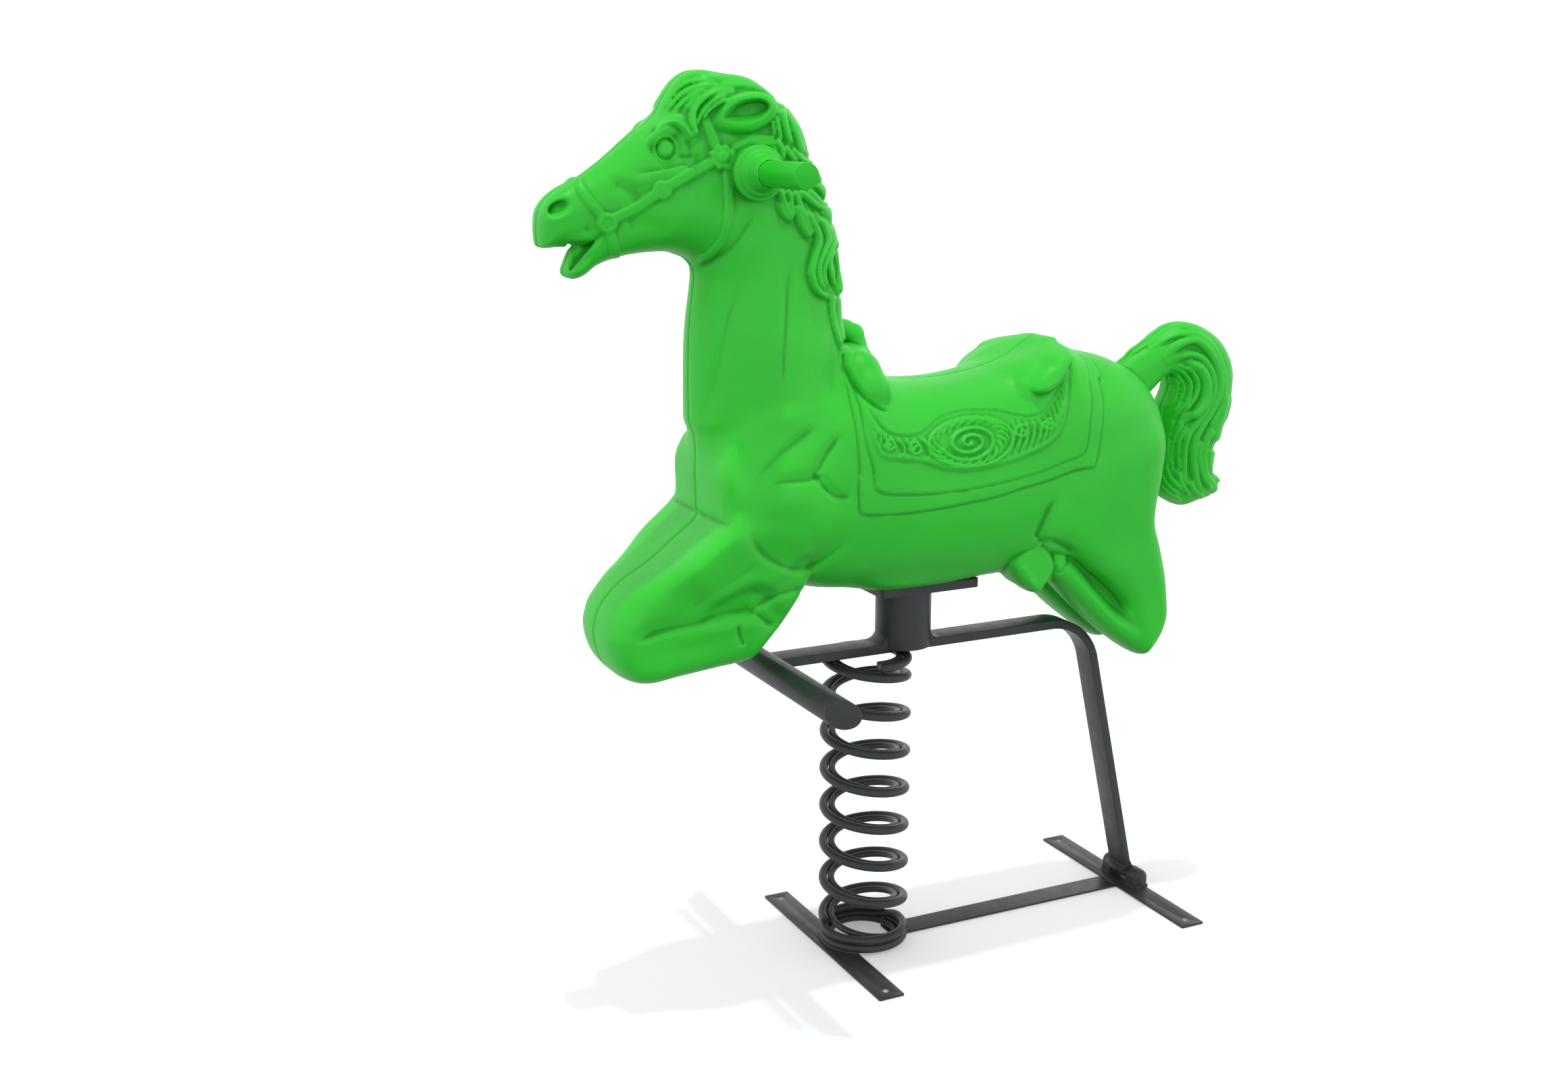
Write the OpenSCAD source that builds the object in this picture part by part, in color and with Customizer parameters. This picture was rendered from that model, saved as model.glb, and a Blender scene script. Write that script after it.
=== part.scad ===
// Spring rider: a hollow cast horse in two halves, carried on a bent flat-bar
// arm that is hinged at the rear of a flat-bar ground frame and held up by a
// nested pair of coil springs.
// +X is towards the horse's nose, +Y is the horse's left, +Z is up.
// The origin is on the ground, midway between the four anchor holes.

/* [Ground frame] */
// Distance between the two ground bars, centre to centre
bar_spacing = 504; // [500:1:508]
// Length of each ground bar
bar_len = 360; // [350:1:370]
// Width of every flat bar
bar_w = 38; // [37:0.5:39]
// Thickness of the ground bars and the tie bar
bar_t = 3; // [2.8:0.1:3.2]
// Distance between the two anchor holes of one bar
anchor_spacing = 324; // [310:1:330]
// Diameter of an anchor hole
anchor_d = 9; // [7:0.5:11]
// Where the tie bar ends, under the spring
tie_end_x = 160; // [150:1:170]

/* [Hinge] */
// Height of the pivot axis above the ground
pivot_z = 17.5; // [17.5:0.1:18]
// Position of the pivot axis along the frame
pivot_x = -262; // [-263:0.5:-261]
// Diameter of the hinge pin
pin_d = 12; // [11:0.5:13]
// Radial running clearance of the pin in its bushes
pin_gap = 0.05; // [0.02:0.01:0.1]

/* [Arm] */
// Thickness of the arm's flat bar
arm_t = 12.7; // [12:0.1:13]
// Height of the arm's top face
arm_top = 442; // [441:0.5:443]
// Inside radius of the arm's bend
bend_r = 72; // [70:1:74]
// Angle that the bar is bent through
bend_a = 77; // [76.5:0.1:77.5]
// Where the bend starts
bend_x = -97; // [-98:0.5:-96]

/* [Foot rest and handle] */
// Position of the foot rest bar along the frame
foot_x = 363; // [361:1:365]
// Height of the foot rest bar's axis
foot_z = 436; // [434:1:437]
// Outer diameter of the foot rest bar
foot_d = 38; // [36:1:40]
// Length of the foot rest bar along its axis
foot_len = 484; // [480:2:490]
// Slant of the foot rest bar's ends
foot_cut = 36; // [30:1:38]
// Position of the handle bar along the frame
grip_x = 400; // [398:1:402]
// Height of the handle bar's axis
grip_z = 1085; // [1083:1:1087]
// Outer diameter of the handle bar
grip_d = 31.8; // [30:0.1:33]
// Length of the handle bar
grip_len = 420; // [380:2:440]

/* [Spring] */
// Position of the spring's axis along the frame
spring_x = 200; // [198:1:202]
// Mean radius of the outer coil
outer_r = 57.6; // [57.6:0.1:58]
// Wire diameter of the outer coil
outer_wire = 12.7; // [11:0.1:12.7]
// Mean radius of the inner coil
inner_r = 46.1; // [45.5:0.1:46.1]
// Wire diameter of the inner coil
inner_wire = 9.5; // [8:0.1:9.5]
// Rise of the coils for each turn
pitch = 55.3; // [54.5:0.1:56]

/* [Cast body] */
// Wall thickness of the castings
wall = 6; // [5:0.5:7]
// Position of the pedestal tube
post_x = 142; // [141:1:143]
// Outer diameter of the pedestal tube
post_d = 78; // [76:1:78]
// Length of the mounting plate
plate_l = 154; // [152:1:155]
// Width of the mounting plate
plate_w = 78; // [78:1:79]
// Thickness of the mounting plate
plate_t = 12.7; // [12:0.1:13]

/* [Hidden] */
$fn = 64;
plate_z = 514;
plate_x = 120;
plate_top = plate_z + plate_t;
bolt_dx = 64;
bolt_y = 28;
arm_bot = arm_top - arm_t;
bend_c = [bend_x, 0, arm_top - bend_r - arm_t];
leg_end = 352;
block_y0 = 20;
block_y1 = 44;
block_r = 12.5;
barrel_r = 11;
screw_at = [[-165, 690], [330, 640], [480, 540], [350, 930], [560, 1040]];

frame_c = [0.24, 0.26, 0.28];
body_c = [0.2, 0.72, 0.2];
steel_c = [0.7, 0.71, 0.72];

// ---------- shapes that repeat ----------

// A cylinder along Y from y0 to y1
module ycyl(x, z, r, y0, y1) {
  translate([x, y0, z]) rotate([-90, 0, 0]) cylinder(r = r, h = y1 - y0);
}

// Sign-keeping power, for rounded-box sections
function spow(v, p) = sign(v) * pow(abs(v), p);

// One section: centre, half vector across, half vector up
function xsec(r, yc = 0) = [[r[0], yc, (r[1] + r[2]) / 2], [0, r[3], 0], [0, 0, (r[2] - r[1]) / 2]];
function zsec(r) = [[(r[1] + r[2]) / 2, 0, r[0]], [(r[2] - r[1]) / 2, 0, 0], [0, r[3], 0]];

// Sections pulled in by a wall, with the two ends drawn inwards
function pulled(v, w) = v * max(1.5, norm(v) - w) / norm(v);
function inset(S, w) = [for (i = [0 : len(S) - 1])
  let (d = i == 0 ? S[1][0] - S[0][0] : i == len(S) - 1 ? S[i - 1][0] - S[i][0] : [0, 0, 0],
       n = norm(d))
  [S[i][0] + (n > 0 ? d / n * min(w, n * 0.7) : [0, 0, 0]), pulled(S[i][1], w), pulled(S[i][2], w)]];

// A closed skin through a row of sections; p is 1 for ellipses, less for boxier ones
module loft(S, n = 18, p = 1) {
  m = len(S);
  way = cross(S[0][1], S[0][2]) * (S[1][0] - S[0][0]) > 0 ? 1 : -1;
  pts = [for (s = S) for (i = [0 : n - 1])
    let (a = 360 * (i + 0.5) / n * way)
    s[0] + s[1] * spow(cos(a), p) + s[2] * spow(sin(a), p)];
  polyhedron(points = concat(pts, [S[0][0], S[m - 1][0]]), faces = concat(
    [for (k = [0 : m - 2]) for (i = [0 : n - 1]) let (j = (i + 1) % n) [k * n + i, (k + 1) * n + i, k * n + j]],
    [for (k = [0 : m - 2]) for (i = [0 : n - 1]) let (j = (i + 1) % n) [k * n + j, (k + 1) * n + i, (k + 1) * n + j]],
    [for (i = [0 : n - 1]) let (j = (i + 1) % n) [m * n, i, j]],
    [for (i = [0 : n - 1]) let (j = (i + 1) % n) [m * n + 1, (m - 1) * n + j, (m - 1) * n + i]]));
}

// A coiled wire: r is the coil's mean radius, w the wire's radius, and the
// turn number runs from t0 to t1; zlo and zhi are the heights of its flat ends
function coil_z(t, zlo, zhi) = max(zlo, min(66 + pitch * (t - 1), zhi));
function coil_at(t, r, zlo, zhi) = let (a = 150 - 360 * t) [spring_x + r * cos(a), r * sin(a), coil_z(t, zlo, zhi)];
module coil(r, w, t0, t1, zlo, zhi, per = 18, n = 8) {
  m = ceil((t1 - t0) * per);
  rings = [for (k = [0 : m])
    let (t = t0 + (t1 - t0) * k / m,
         d = coil_at(t + 0.005, r, zlo, zhi) - coil_at(t - 0.005, r, zlo, zhi),
         f = d / norm(d),
         s = cross(f, [0, 0, 1]) / norm(cross(f, [0, 0, 1])),
         u = cross(s, f))
    [coil_at(t, r, zlo, zhi), s * w, u * w]];
  pts = [for (q = rings) for (i = [0 : n - 1]) q[0] + q[1] * cos(360 * i / n) + q[2] * sin(360 * i / n)];
  polyhedron(points = pts, faces = concat(
    [for (k = [0 : m - 1]) for (i = [0 : n - 1]) let (j = (i + 1) % n) [k * n + i, k * n + j, (k + 1) * n + i]],
    [for (k = [0 : m - 1]) for (i = [0 : n - 1]) let (j = (i + 1) % n) [k * n + j, (k + 1) * n + j, (k + 1) * n + i]],
    [[for (i = [0 : n - 1]) n - 1 - i]], [[for (i = [0 : n - 1]) m * n + i]]));
}

// The leg's own frame: x is across the bar's thickness, z runs down the leg
module along_leg() {
  translate(bend_c) rotate([0, -(90 + bend_a), 0]) children();
}

// ---------- ground frame ----------

module ground_bar(x) {
  difference() {
    translate([x - bar_w / 2, -bar_len / 2, 0]) cube([bar_w, bar_len, bar_t]);
    for (s = [-1, 1]) translate([x, s * anchor_spacing / 2, -1]) cylinder(d = anchor_d, h = bar_t + 2);
  }
}

module front_ground_bar() { color(frame_c) ground_bar(bar_spacing / 2); }

module rear_ground_bar() { color(frame_c) ground_bar(-bar_spacing / 2); }

module tie_bar() {
  x0 = -bar_spacing / 2 + bar_w / 2;
  color(frame_c) translate([x0, -bar_w / 2, 0]) cube([tie_end_x - x0, bar_w, bar_t]);
}

// Two flat turns of wire, welded to both bars, that the spring stands on
module spring_seat_ring() {
  color(frame_c) translate([spring_x, 0, bar_t]) rotate_extrude() union() {
    translate([outer_r, outer_wire / 2]) circle(d = outer_wire);
    translate([outer_r, outer_wire / 2 + 12]) circle(d = outer_wire);
  }
}

module outer_spring() { color(frame_c) coil(outer_r, outer_wire / 2, 0.43, 8.19, bar_t + 31.5, arm_bot - outer_wire / 2 - 0.3); }

module inner_spring() { color(frame_c) coil(inner_r, inner_wire / 2, -0.8, 8.19, bar_t + inner_wire / 2 + 0.2, arm_bot - inner_wire / 2 - 0.3); }

// ---------- hinge ----------

module bearing_block(s) {
  difference() {
    union() {
      ycyl(pivot_x, pivot_z, block_r, s > 0 ? block_y0 : -block_y1, s > 0 ? block_y1 : -block_y0);
      translate([pivot_x - block_r, s > 0 ? block_y0 : -block_y1, bar_t])
        cube([2 * block_r, block_y1 - block_y0, pivot_z - bar_t]);
    }
    ycyl(pivot_x, pivot_z, pin_d / 2 + 2, s > 0 ? block_y0 - 1 : -block_y1 + 4, s > 0 ? block_y1 - 4 : -block_y0 + 1);
  }
}

module left_bearing_block() { color(frame_c) bearing_block(1); }

module right_bearing_block() { color(frame_c) bearing_block(-1); }

module pivot_bushes() {
  color([0.62, 0.5, 0.3]) for (s = [-1, 1]) difference() {
    ycyl(pivot_x, pivot_z, pin_d / 2 + 2, s > 0 ? block_y0 : -block_y1 + 4, s > 0 ? block_y1 - 4 : -block_y0);
    ycyl(pivot_x, pivot_z, pin_d / 2 + pin_gap, -block_y1, block_y1);
  }
}

module hinge_pin() { color(steel_c) ycyl(pivot_x, pivot_z, pin_d / 2, -block_y1 + 5, block_y1 - 5); }

module hinge_barrel() {
  color(frame_c) difference() {
    ycyl(pivot_x, pivot_z, barrel_r, -bar_w / 2 - 0.3, bar_w / 2 + 0.3);
    ycyl(pivot_x, pivot_z, pin_d / 2, -bar_w, bar_w);
  }
}

// The plate under the arm's foot, coped to the barrel
module arm_foot_plate() {
  color(frame_c) difference() {
    along_leg() translate([bend_r - 9, -bar_w / 2, leg_end]) cube([arm_t + 11, bar_w, 8]);
    ycyl(pivot_x, pivot_z, barrel_r, -bar_w, bar_w);
  }
}

// ---------- arm and what is welded to it ----------

// The bent bar is one side outline, with the bend in short straights, made as wide as the bar
function on_bend(r, a) = [bend_c[0] + r * cos(a), bend_c[2] + r * sin(a)];
function leg_foot(r) = on_bend(r, 90 + bend_a) + leg_end * [-sin(90 + bend_a), cos(90 + bend_a)];
module arm() {
  steps = 22;
  side = concat([[foot_x, arm_bot], [foot_x, arm_top]],
    [for (i = [0 : steps]) on_bend(bend_r + arm_t, 90 + bend_a * i / steps)],
    [leg_foot(bend_r + arm_t), leg_foot(bend_r)],
    [for (i = [steps : -1 : 0]) on_bend(bend_r, 90 + bend_a * i / steps)]);
  color(frame_c) difference() {
    rotate([90, 0, 0]) linear_extrude(bar_w, center = true) polygon(side);
    ycyl(foot_x, foot_z, foot_d / 2, -bar_w, bar_w);
  }
}

// A rod along the foot rest's axis whose ends are slanted to face out and forward
module foot_rod(r, half) {
  difference() {
    ycyl(foot_x, foot_z, r, -half - 30, half + 30);
    for (s = [-1, 1]) translate([foot_x, s * half, foot_z]) rotate([0, 0, -s * foot_cut])
      translate([-60, s > 0 ? 0 : -60, -60]) cube([120, 60, 120]);
  }
}

module foot_rest_bar() {
  color(frame_c) difference() {
    foot_rod(foot_d / 2, foot_len / 2 - 3);
    ycyl(foot_x, foot_z, foot_d / 2 - 3, -foot_len / 2 - 40, foot_len / 2 + 40);
  }
}

module foot_rest_caps() {
  color(frame_c) difference() {
    foot_rod(foot_d / 2, foot_len / 2);
    foot_rod(foot_d / 2 + 1, foot_len / 2 - 3);
  }
}

// Round tube notched over the arm
module pedestal_tube() {
  color(frame_c) difference() {
    translate([post_x, 0, arm_bot + 5]) cylinder(d = post_d, h = plate_z - arm_bot - 5);
    translate([post_x, 0, arm_bot]) cylinder(d = post_d - 10, h = plate_z - arm_bot + 1);
    translate([post_x - post_d, -bar_w / 2, arm_bot]) cube([2 * post_d, bar_w, arm_t]);
  }
}

module mount_plate() {
  color(frame_c) difference() {
    translate([plate_x - plate_l / 2, -plate_w / 2, plate_z]) cube([plate_l, plate_w, plate_t]);
    at_bolts() translate([0, 0, plate_z]) union() {
      translate([0, 0, -1]) cylinder(d = 9, h = plate_t + 2);
      cylinder(d1 = 16, d2 = 9, h = 3.5);
      translate([0, 0, -1]) cylinder(d = 16, h = 1);
    }
  }
}

module at_bolts() {
  for (i = [-1, 1]) for (j = [-1, 1]) translate([plate_x + i * bolt_dx, j * bolt_y, 0]) children();
}

// Countersunk screws, flush with the underside of the plate
module mount_bolts() {
  color(steel_c) at_bolts() union() {
    translate([0, 0, plate_z]) cylinder(d1 = 16, d2 = 8, h = 4);
    translate([0, 0, plate_z + 4]) cylinder(d = 8, h = plate_t + 13.4);
  }
}

// ---------- cast horse ----------

// Rows of [along, low, high, half width] for each part of the figure
torso = [for (r = [[-268, 660, 745, 18], [-252, 590, 782, 62], [-205, 552, 806, 94], [-120, 535, 820, 108],
  [-40, 525, 816, 112], [60, 521, 806, 113], [160, 521, 806, 113], [235, 522, 806, 113], [330, 532, 800, 114],
  [405, 556, 775, 108], [455, 590, 742, 84], [482, 630, 705, 38]]) xsec(r)];
neck = [for (r = [[640, 250, 470, 98], [720, 240, 480, 96], [800, 240, 469, 84], [880, 250, 463, 72], [940, 253, 458, 66],
  [1000, 263, 456, 62], [1060, 280, 470, 62], [1120, 302, 482, 58], [1160, 324, 484, 50], [1190, 352, 474, 34],
  [1205, 400, 455, 12]]) zsec(r)];
head = [for (r = [[390, 985, 1190, 60], [450, 968, 1186, 65], [500, 984, 1152, 64], [540, 978, 1130, 57], [580, 970, 1098, 48],
  [612, 964, 1076, 41], [642, 978, 1062, 38], [663, 1006, 1046, 26]]) xsec(r)];
foreleg = [for (r = [[300, 548, 700, 60], [340, 505, 700, 78], [380, 464, 694, 82], [412, 454, 684, 82], [486, 446, 660, 80],
  [540, 440, 622, 76], [576, 452, 580, 68], [598, 470, 548, 52], [607, 488, 520, 26]]) xsec(r)];
hindleg = [for (r = [[16, 540, 564, 12], [-30, 520, 600, 28], [-70, 500, 640, 34], [-120, 454, 660, 37], [-180, 420, 676, 38],
  [-232, 394, 690, 37], [-256, 410, 530, 30], [-273, 430, 462, 16]]) xsec(r, 63)];
cantle = [for (r = [[-98, 790, 830, 50], [-60, 780, 850, 84], [-20, 780, 858, 88], [25, 785, 850, 80], [52, 795, 826, 50]]) xsec(r)];
pommel = [for (r = [[192, 800, 838, 44], [206, 795, 868, 62], [232, 800, 892, 46], [256, 820, 890, 30]]) xsec(r)];

// The tail follows a row of [x, z, half thickness, half width] across its run
tail_run = [[-212, 772, 26, 20], [-255, 814, 30, 24], [-298, 832, 32, 27], [-338, 818, 36, 30], [-364, 775, 42, 32],
  [-364, 722, 45, 33], [-354, 664, 47, 31], [-349, 618, 44, 25], [-346, 592, 28, 14]];
function tail_dir(i) = let (a = tail_run[max(0, i - 1)], b = tail_run[min(len(tail_run) - 1, i + 1)], v = [b[0] - a[0], b[1] - a[1]]) v / norm(v);
tail = [for (i = [0 : len(tail_run) - 1]) let (q = tail_run[i], d = tail_dir(i))
  [[q[0], 0, q[1]], [0, q[3], 0], [-d[1] * q[2], 0, d[0] * q[2]]]];

// The ear leans back and out from the poll
ear = [for (q = [[446, 46, 1142, 12, 8], [425, 58, 1150, 16, 20], [398, 68, 1160, 15, 24], [372, 74, 1170, 11, 18], [352, 76, 1178, 5, 7]])
  [[q[0], q[1], q[2]], [0, q[3], q[3] * 0.4], [q[4] * 0.3, 0, q[4]]]];

module figure() {
  loft(torso);
  loft(neck);
  loft(head, 16);
  loft(foreleg, 16, 0.8);
  loft(hindleg, 12);
  loft(cantle, 14);
  loft(pommel, 12);
  loft(tail, 10);
  loft(ear, 8);
  // stepped boss of the hand grip
  ycyl(grip_x, grip_z, 34, 0, 80, $fn = 32);
  ycyl(grip_x, grip_z, 28.5, 0, 87, $fn = 32);
  translate([grip_x, 86, grip_z]) rotate([-90, 0, 0]) cylinder(r1 = 23, r2 = 18, h = 26, $fn = 32);
}

module hollow() {
  loft(inset(torso, wall), 14);
  loft(inset(neck, wall), 14);
  loft(inset(head, wall), 14);
  loft(inset(foreleg, wall), 14, 0.8);
  loft(inset(hindleg, wall), 10);
}

// What stays solid inside the hollow: the bolt pad, the handle sleeve and the screw posts
module inner_posts() {
  translate([plate_x - plate_l / 2 - 4, -1, plate_top - 40]) cube([plate_l + 8, plate_w / 2 + 5, 64]);
  ycyl(grip_x, grip_z, 24, -1, 150, $fn = 24);
  for (q = screw_at) ycyl(q[0], q[1], 11, -1, 150, $fn = 16);
}

// The left half, before drilling; its parting face lies on the middle plane
module half_shell() {
  resize([0, 0, 0]) difference() {
    intersection() {
      union() { figure(); }
      translate([-600, 0, 300]) cube([1400, 300, 1000]);
    }
    difference() {
      hollow();
      inner_posts();
    }
    // mouth
    translate([0, 100, 0]) rotate([90, 0, 0]) linear_extrude(200)
      polygon([[690, 1004], [590, 1000], [584, 994], [640, 976], [690, 985]]);
    // seat for the mounting plate
    translate([plate_x - plate_l / 2 - 1, -60, 480]) cube([plate_l + 2, 60 + plate_w / 2 + 1, plate_top - 480]);
  }
}

module drillings(right) {
  ycyl(grip_x, grip_z, grip_d / 2 + 0.1, -200, 200);
  translate([grip_x - 22, 0, grip_z]) rotate([0, 90, 0]) cylinder(d = 6.2, h = 44);
  at_bolts() translate([0, 0, plate_top - 1]) cylinder(d = 8.2, h = 20.5);
  for (q = screw_at) {
    ycyl(q[0], q[1], 3.1, -1, right ? 31 : 26);
    if (right) ycyl(q[0], q[1], 7.5, 30, 200);
  }
}

module left_body_half() {
  color(body_c) difference() {
    half_shell();
    drillings(false);
  }
}

module right_body_half() {
  color(body_c) mirror([0, 1, 0]) difference() {
    half_shell();
    drillings(true);
  }
}

// Cap screws from the right-hand side that draw the halves together
module seam_screws() {
  color(steel_c) for (q = screw_at) union() {
    ycyl(q[0], q[1], 5, -36, -30);
    ycyl(q[0], q[1], 3, -30, 24);
  }
}

module handle_bar() {
  color(body_c) difference() {
    ycyl(grip_x, grip_z, grip_d / 2, -grip_len / 2 + 2, grip_len / 2 - 2);
    ycyl(grip_x, grip_z, grip_d / 2 - 3, -grip_len / 2, grip_len / 2);
    translate([grip_x - 30, 0, grip_z]) rotate([0, 90, 0]) cylinder(d = 6, h = 60);
  }
}

module handle_plugs() {
  color(body_c) for (s = [-1, 1]) union() {
    ycyl(grip_x, grip_z, grip_d / 2, s > 0 ? grip_len / 2 - 2 : -grip_len / 2, s > 0 ? grip_len / 2 : -grip_len / 2 + 2);
    ycyl(grip_x, grip_z, grip_d / 2 - 3.1, s > 0 ? grip_len / 2 - 16 : -grip_len / 2 + 2, s > 0 ? grip_len / 2 - 2 : -grip_len / 2 + 16);
  }
}

module handle_cross_pin() { color(steel_c) translate([grip_x - 21, 0, grip_z]) rotate([0, 90, 0]) cylinder(d = 6, h = 42); }

front_ground_bar();
rear_ground_bar();
tie_bar();
spring_seat_ring();
outer_spring();
inner_spring();
left_bearing_block();
right_bearing_block();
pivot_bushes();
hinge_pin();
hinge_barrel();
arm_foot_plate();
arm();
foot_rest_bar();
foot_rest_caps();
pedestal_tube();
mount_plate();
mount_bolts();
left_body_half();
right_body_half();
handle_bar();
handle_plugs();
handle_cross_pin();
seam_screws();
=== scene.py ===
import math

import bmesh
import bpy
import numpy as np
import openvdb
from mathutils import Matrix, Vector


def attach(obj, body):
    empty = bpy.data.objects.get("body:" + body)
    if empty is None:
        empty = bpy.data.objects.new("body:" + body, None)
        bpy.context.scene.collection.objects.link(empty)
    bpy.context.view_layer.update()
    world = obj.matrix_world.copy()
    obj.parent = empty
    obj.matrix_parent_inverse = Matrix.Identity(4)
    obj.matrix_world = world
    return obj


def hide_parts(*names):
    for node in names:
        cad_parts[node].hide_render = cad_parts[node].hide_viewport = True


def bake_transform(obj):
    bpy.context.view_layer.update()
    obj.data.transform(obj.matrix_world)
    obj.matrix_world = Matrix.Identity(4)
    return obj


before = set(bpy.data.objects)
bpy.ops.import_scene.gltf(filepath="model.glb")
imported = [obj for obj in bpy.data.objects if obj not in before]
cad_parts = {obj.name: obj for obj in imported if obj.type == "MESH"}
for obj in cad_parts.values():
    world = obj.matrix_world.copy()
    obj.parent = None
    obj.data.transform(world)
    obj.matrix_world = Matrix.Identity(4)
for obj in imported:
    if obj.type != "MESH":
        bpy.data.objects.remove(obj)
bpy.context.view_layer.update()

# ------------------------------------------------------------------ viewpoint
# Millimetres and radians, in the part's own frame; the picture is 2321 x 1596.
EYE = np.array([1334.097, 2067.432, 1151.055])
YAW, PITCH, ROLL, FOCAL = 0.453293, 0.233802, 0.001793, 2621.903
PIC_W, PIC_H = 2321, 1596


def view_axes():
    f = np.array([-math.sin(YAW) * math.cos(PITCH), -math.cos(YAW) * math.cos(PITCH), -math.sin(PITCH)])
    r = np.cross(f, [0, 0, 1.0])
    r /= np.linalg.norm(r)
    u = np.cross(r, f)
    c, s = math.cos(ROLL), math.sin(ROLL)
    return c * r + s * u, -s * r + c * u, f


AX_R, AX_U, AX_F = view_axes()


def to_picture(x, y, z):
    """Picture position of points given in millimetres."""
    dx, dy, dz = x - EYE[0], y - EYE[1], z - EYE[2]
    w = dx * AX_F[0] + dy * AX_F[1] + dz * AX_F[2]
    a = dx * AX_R[0] + dy * AX_R[1] + dz * AX_R[2]
    b = dx * AX_U[0] + dy * AX_U[1] + dz * AX_U[2]
    return PIC_W / 2 + FOCAL * a / w, PIC_H / 2 - FOCAL * b / w


def make_camera():
    cam = bpy.data.cameras.new("camera")
    ob = bpy.data.objects.new("camera", cam)
    bpy.context.scene.collection.objects.link(ob)
    cam.sensor_fit = "HORIZONTAL"
    cam.sensor_width = 36.0
    cam.lens = FOCAL / PIC_W * 36.0
    cam.clip_start, cam.clip_end = 0.05, 60
    m = Matrix((
        (AX_R[0], AX_U[0], -AX_F[0], EYE[0] / 1000),
        (AX_R[1], AX_U[1], -AX_F[1], EYE[1] / 1000),
        (AX_R[2], AX_U[2], -AX_F[2], EYE[2] / 1000),
        (0, 0, 0, 1)))
    ob.matrix_world = m
    bpy.context.scene.camera = ob


make_camera()

# ------------------------------------------------------------------ sculpting grid
# One half of the figure is carved in a block of voxels, y from the parting
# plane outwards. Lengths are millimetres.
VOX = 1.6
xs = np.arange(-424, 678, VOX, dtype=np.float32)
ys = np.arange(-2 * VOX, 130, VOX, dtype=np.float32)
zs = np.arange(380, 1222, VOX, dtype=np.float32)
GX, GZ = np.meshgrid(xs, zs, indexing="ij")
vol = np.full((len(xs), len(ys), len(zs)), -60.0, np.float32)


def curve_closed(pts, n=6):
    """Closed smooth curve through the points."""
    p = np.asarray(pts, float)
    a, b, c, d = np.roll(p, 1, 0), p, np.roll(p, -1, 0), np.roll(p, -2, 0)
    t = np.linspace(0, 1, n, endpoint=False)[None, :, None]
    a, b, c, d = a[:, None], b[:, None], c[:, None], d[:, None]
    q = 0.5 * (2 * b + (c - a) * t + (2 * a - 5 * b + 4 * c - d) * t ** 2 + (3 * b - a - 3 * c + d) * t ** 3)
    return q.reshape(-1, p.shape[1])


def curve_open(pts, n=6):
    """Open smooth curve through the points."""
    p = np.asarray(pts, float)
    if len(p) < 3:
        return p
    e = np.vstack([2 * p[0] - p[1], p, 2 * p[-1] - p[-2]])
    a, b, c, d = e[:-3, None], e[1:-2, None], e[2:-1, None], e[3:, None]
    t = np.linspace(0, 1, n, endpoint=False)[None, :, None]
    q = 0.5 * (2 * b + (c - a) * t + (2 * a - 5 * b + 4 * c - d) * t ** 2 + (3 * b - a - 3 * c + d) * t ** 3)
    return np.vstack([q.reshape(-1, p.shape[1]), p[-1]])


def side_of(poly, px, py):
    """Signed distance to a closed outline, positive inside."""
    d2 = np.full(px.shape, 1e12, np.float32)
    inside = np.zeros(px.shape, bool)
    q = np.roll(poly, -1, 0)
    for (ax, ay), (bx, by) in zip(poly, q):
        ex, ey = bx - ax, by - ay
        wx, wy = px - ax, py - ay
        t = np.clip((wx * ex + wy * ey) / max(ex * ex + ey * ey, 1e-9), 0, 1)
        d2 = np.minimum(d2, (wx - t * ex) ** 2 + (wy - t * ey) ** 2)
        if ay != by:
            cross = ((ay > py) != (by > py)) & (px < ex * (py - ay) / (by - ay) + ax)
            inside ^= cross
    d = np.sqrt(d2)
    return np.where(inside, d, -d).astype(np.float32)


def soft_max(a, b, k):
    h = np.clip(k - np.abs(a - b), 0, None) / k
    return np.maximum(a, b) + h * h * (k * 0.25)


def soft_min(a, b, k):
    return -soft_max(-a, -b, k)


def step(x):
    x = np.clip(x, 0, 1)
    return x * x * (3 - 2 * x)


def blur(a, sigma):
    """Gaussian blur of a plane, sigma in cells."""
    n = max(1, int(3 * sigma))
    k = np.exp(-0.5 * (np.arange(-n, n + 1) / sigma) ** 2)
    k /= k.sum()
    for ax in (0, 1):
        b = np.pad(a, [(n, n) if i == ax else (0, 0) for i in (0, 1)], mode="edge")
        out = np.zeros_like(a)
        for i, w in enumerate(k):
            sl = [slice(None)] * 2
            sl[ax] = slice(i, i + a.shape[ax])
            out += w * b[tuple(sl)]
        a = out
    return a


def block(lo, hi):
    """Index slices of the voxels between two corners."""
    s = []
    for g, a, b in zip((xs, ys, zs), lo, hi):
        i = np.searchsorted(g, [a, b])
        s.append(slice(max(0, int(i[0]) - 1), min(len(g), int(i[1]) + 1)))
    return tuple(s)


def add(b, phi, k):
    vol[b] = soft_max(vol[b], phi.astype(np.float32), k)


def cut(b, phi, k):
    """Takes away where phi is positive."""
    vol[b] = soft_min(vol[b], -phi.astype(np.float32), k)


def fields(points, gx, gz, spread):
    """Smooth fields through control rows of [x, z, value, value ...]."""
    p = np.asarray(points, float)
    tot = np.full(gx.shape, 1e-12, np.float32)
    out = [np.zeros(gx.shape, np.float32) for _ in range(p.shape[1] - 2)]
    for row in p:
        w = np.exp(-((gx - row[0]) ** 2 + (gz - row[1]) ** 2) / (2 * spread * spread)) + 1e-9
        tot += w
        for o, v in zip(out, row[2:]):
            o += w * v
    return [o / tot for o in out]


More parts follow.
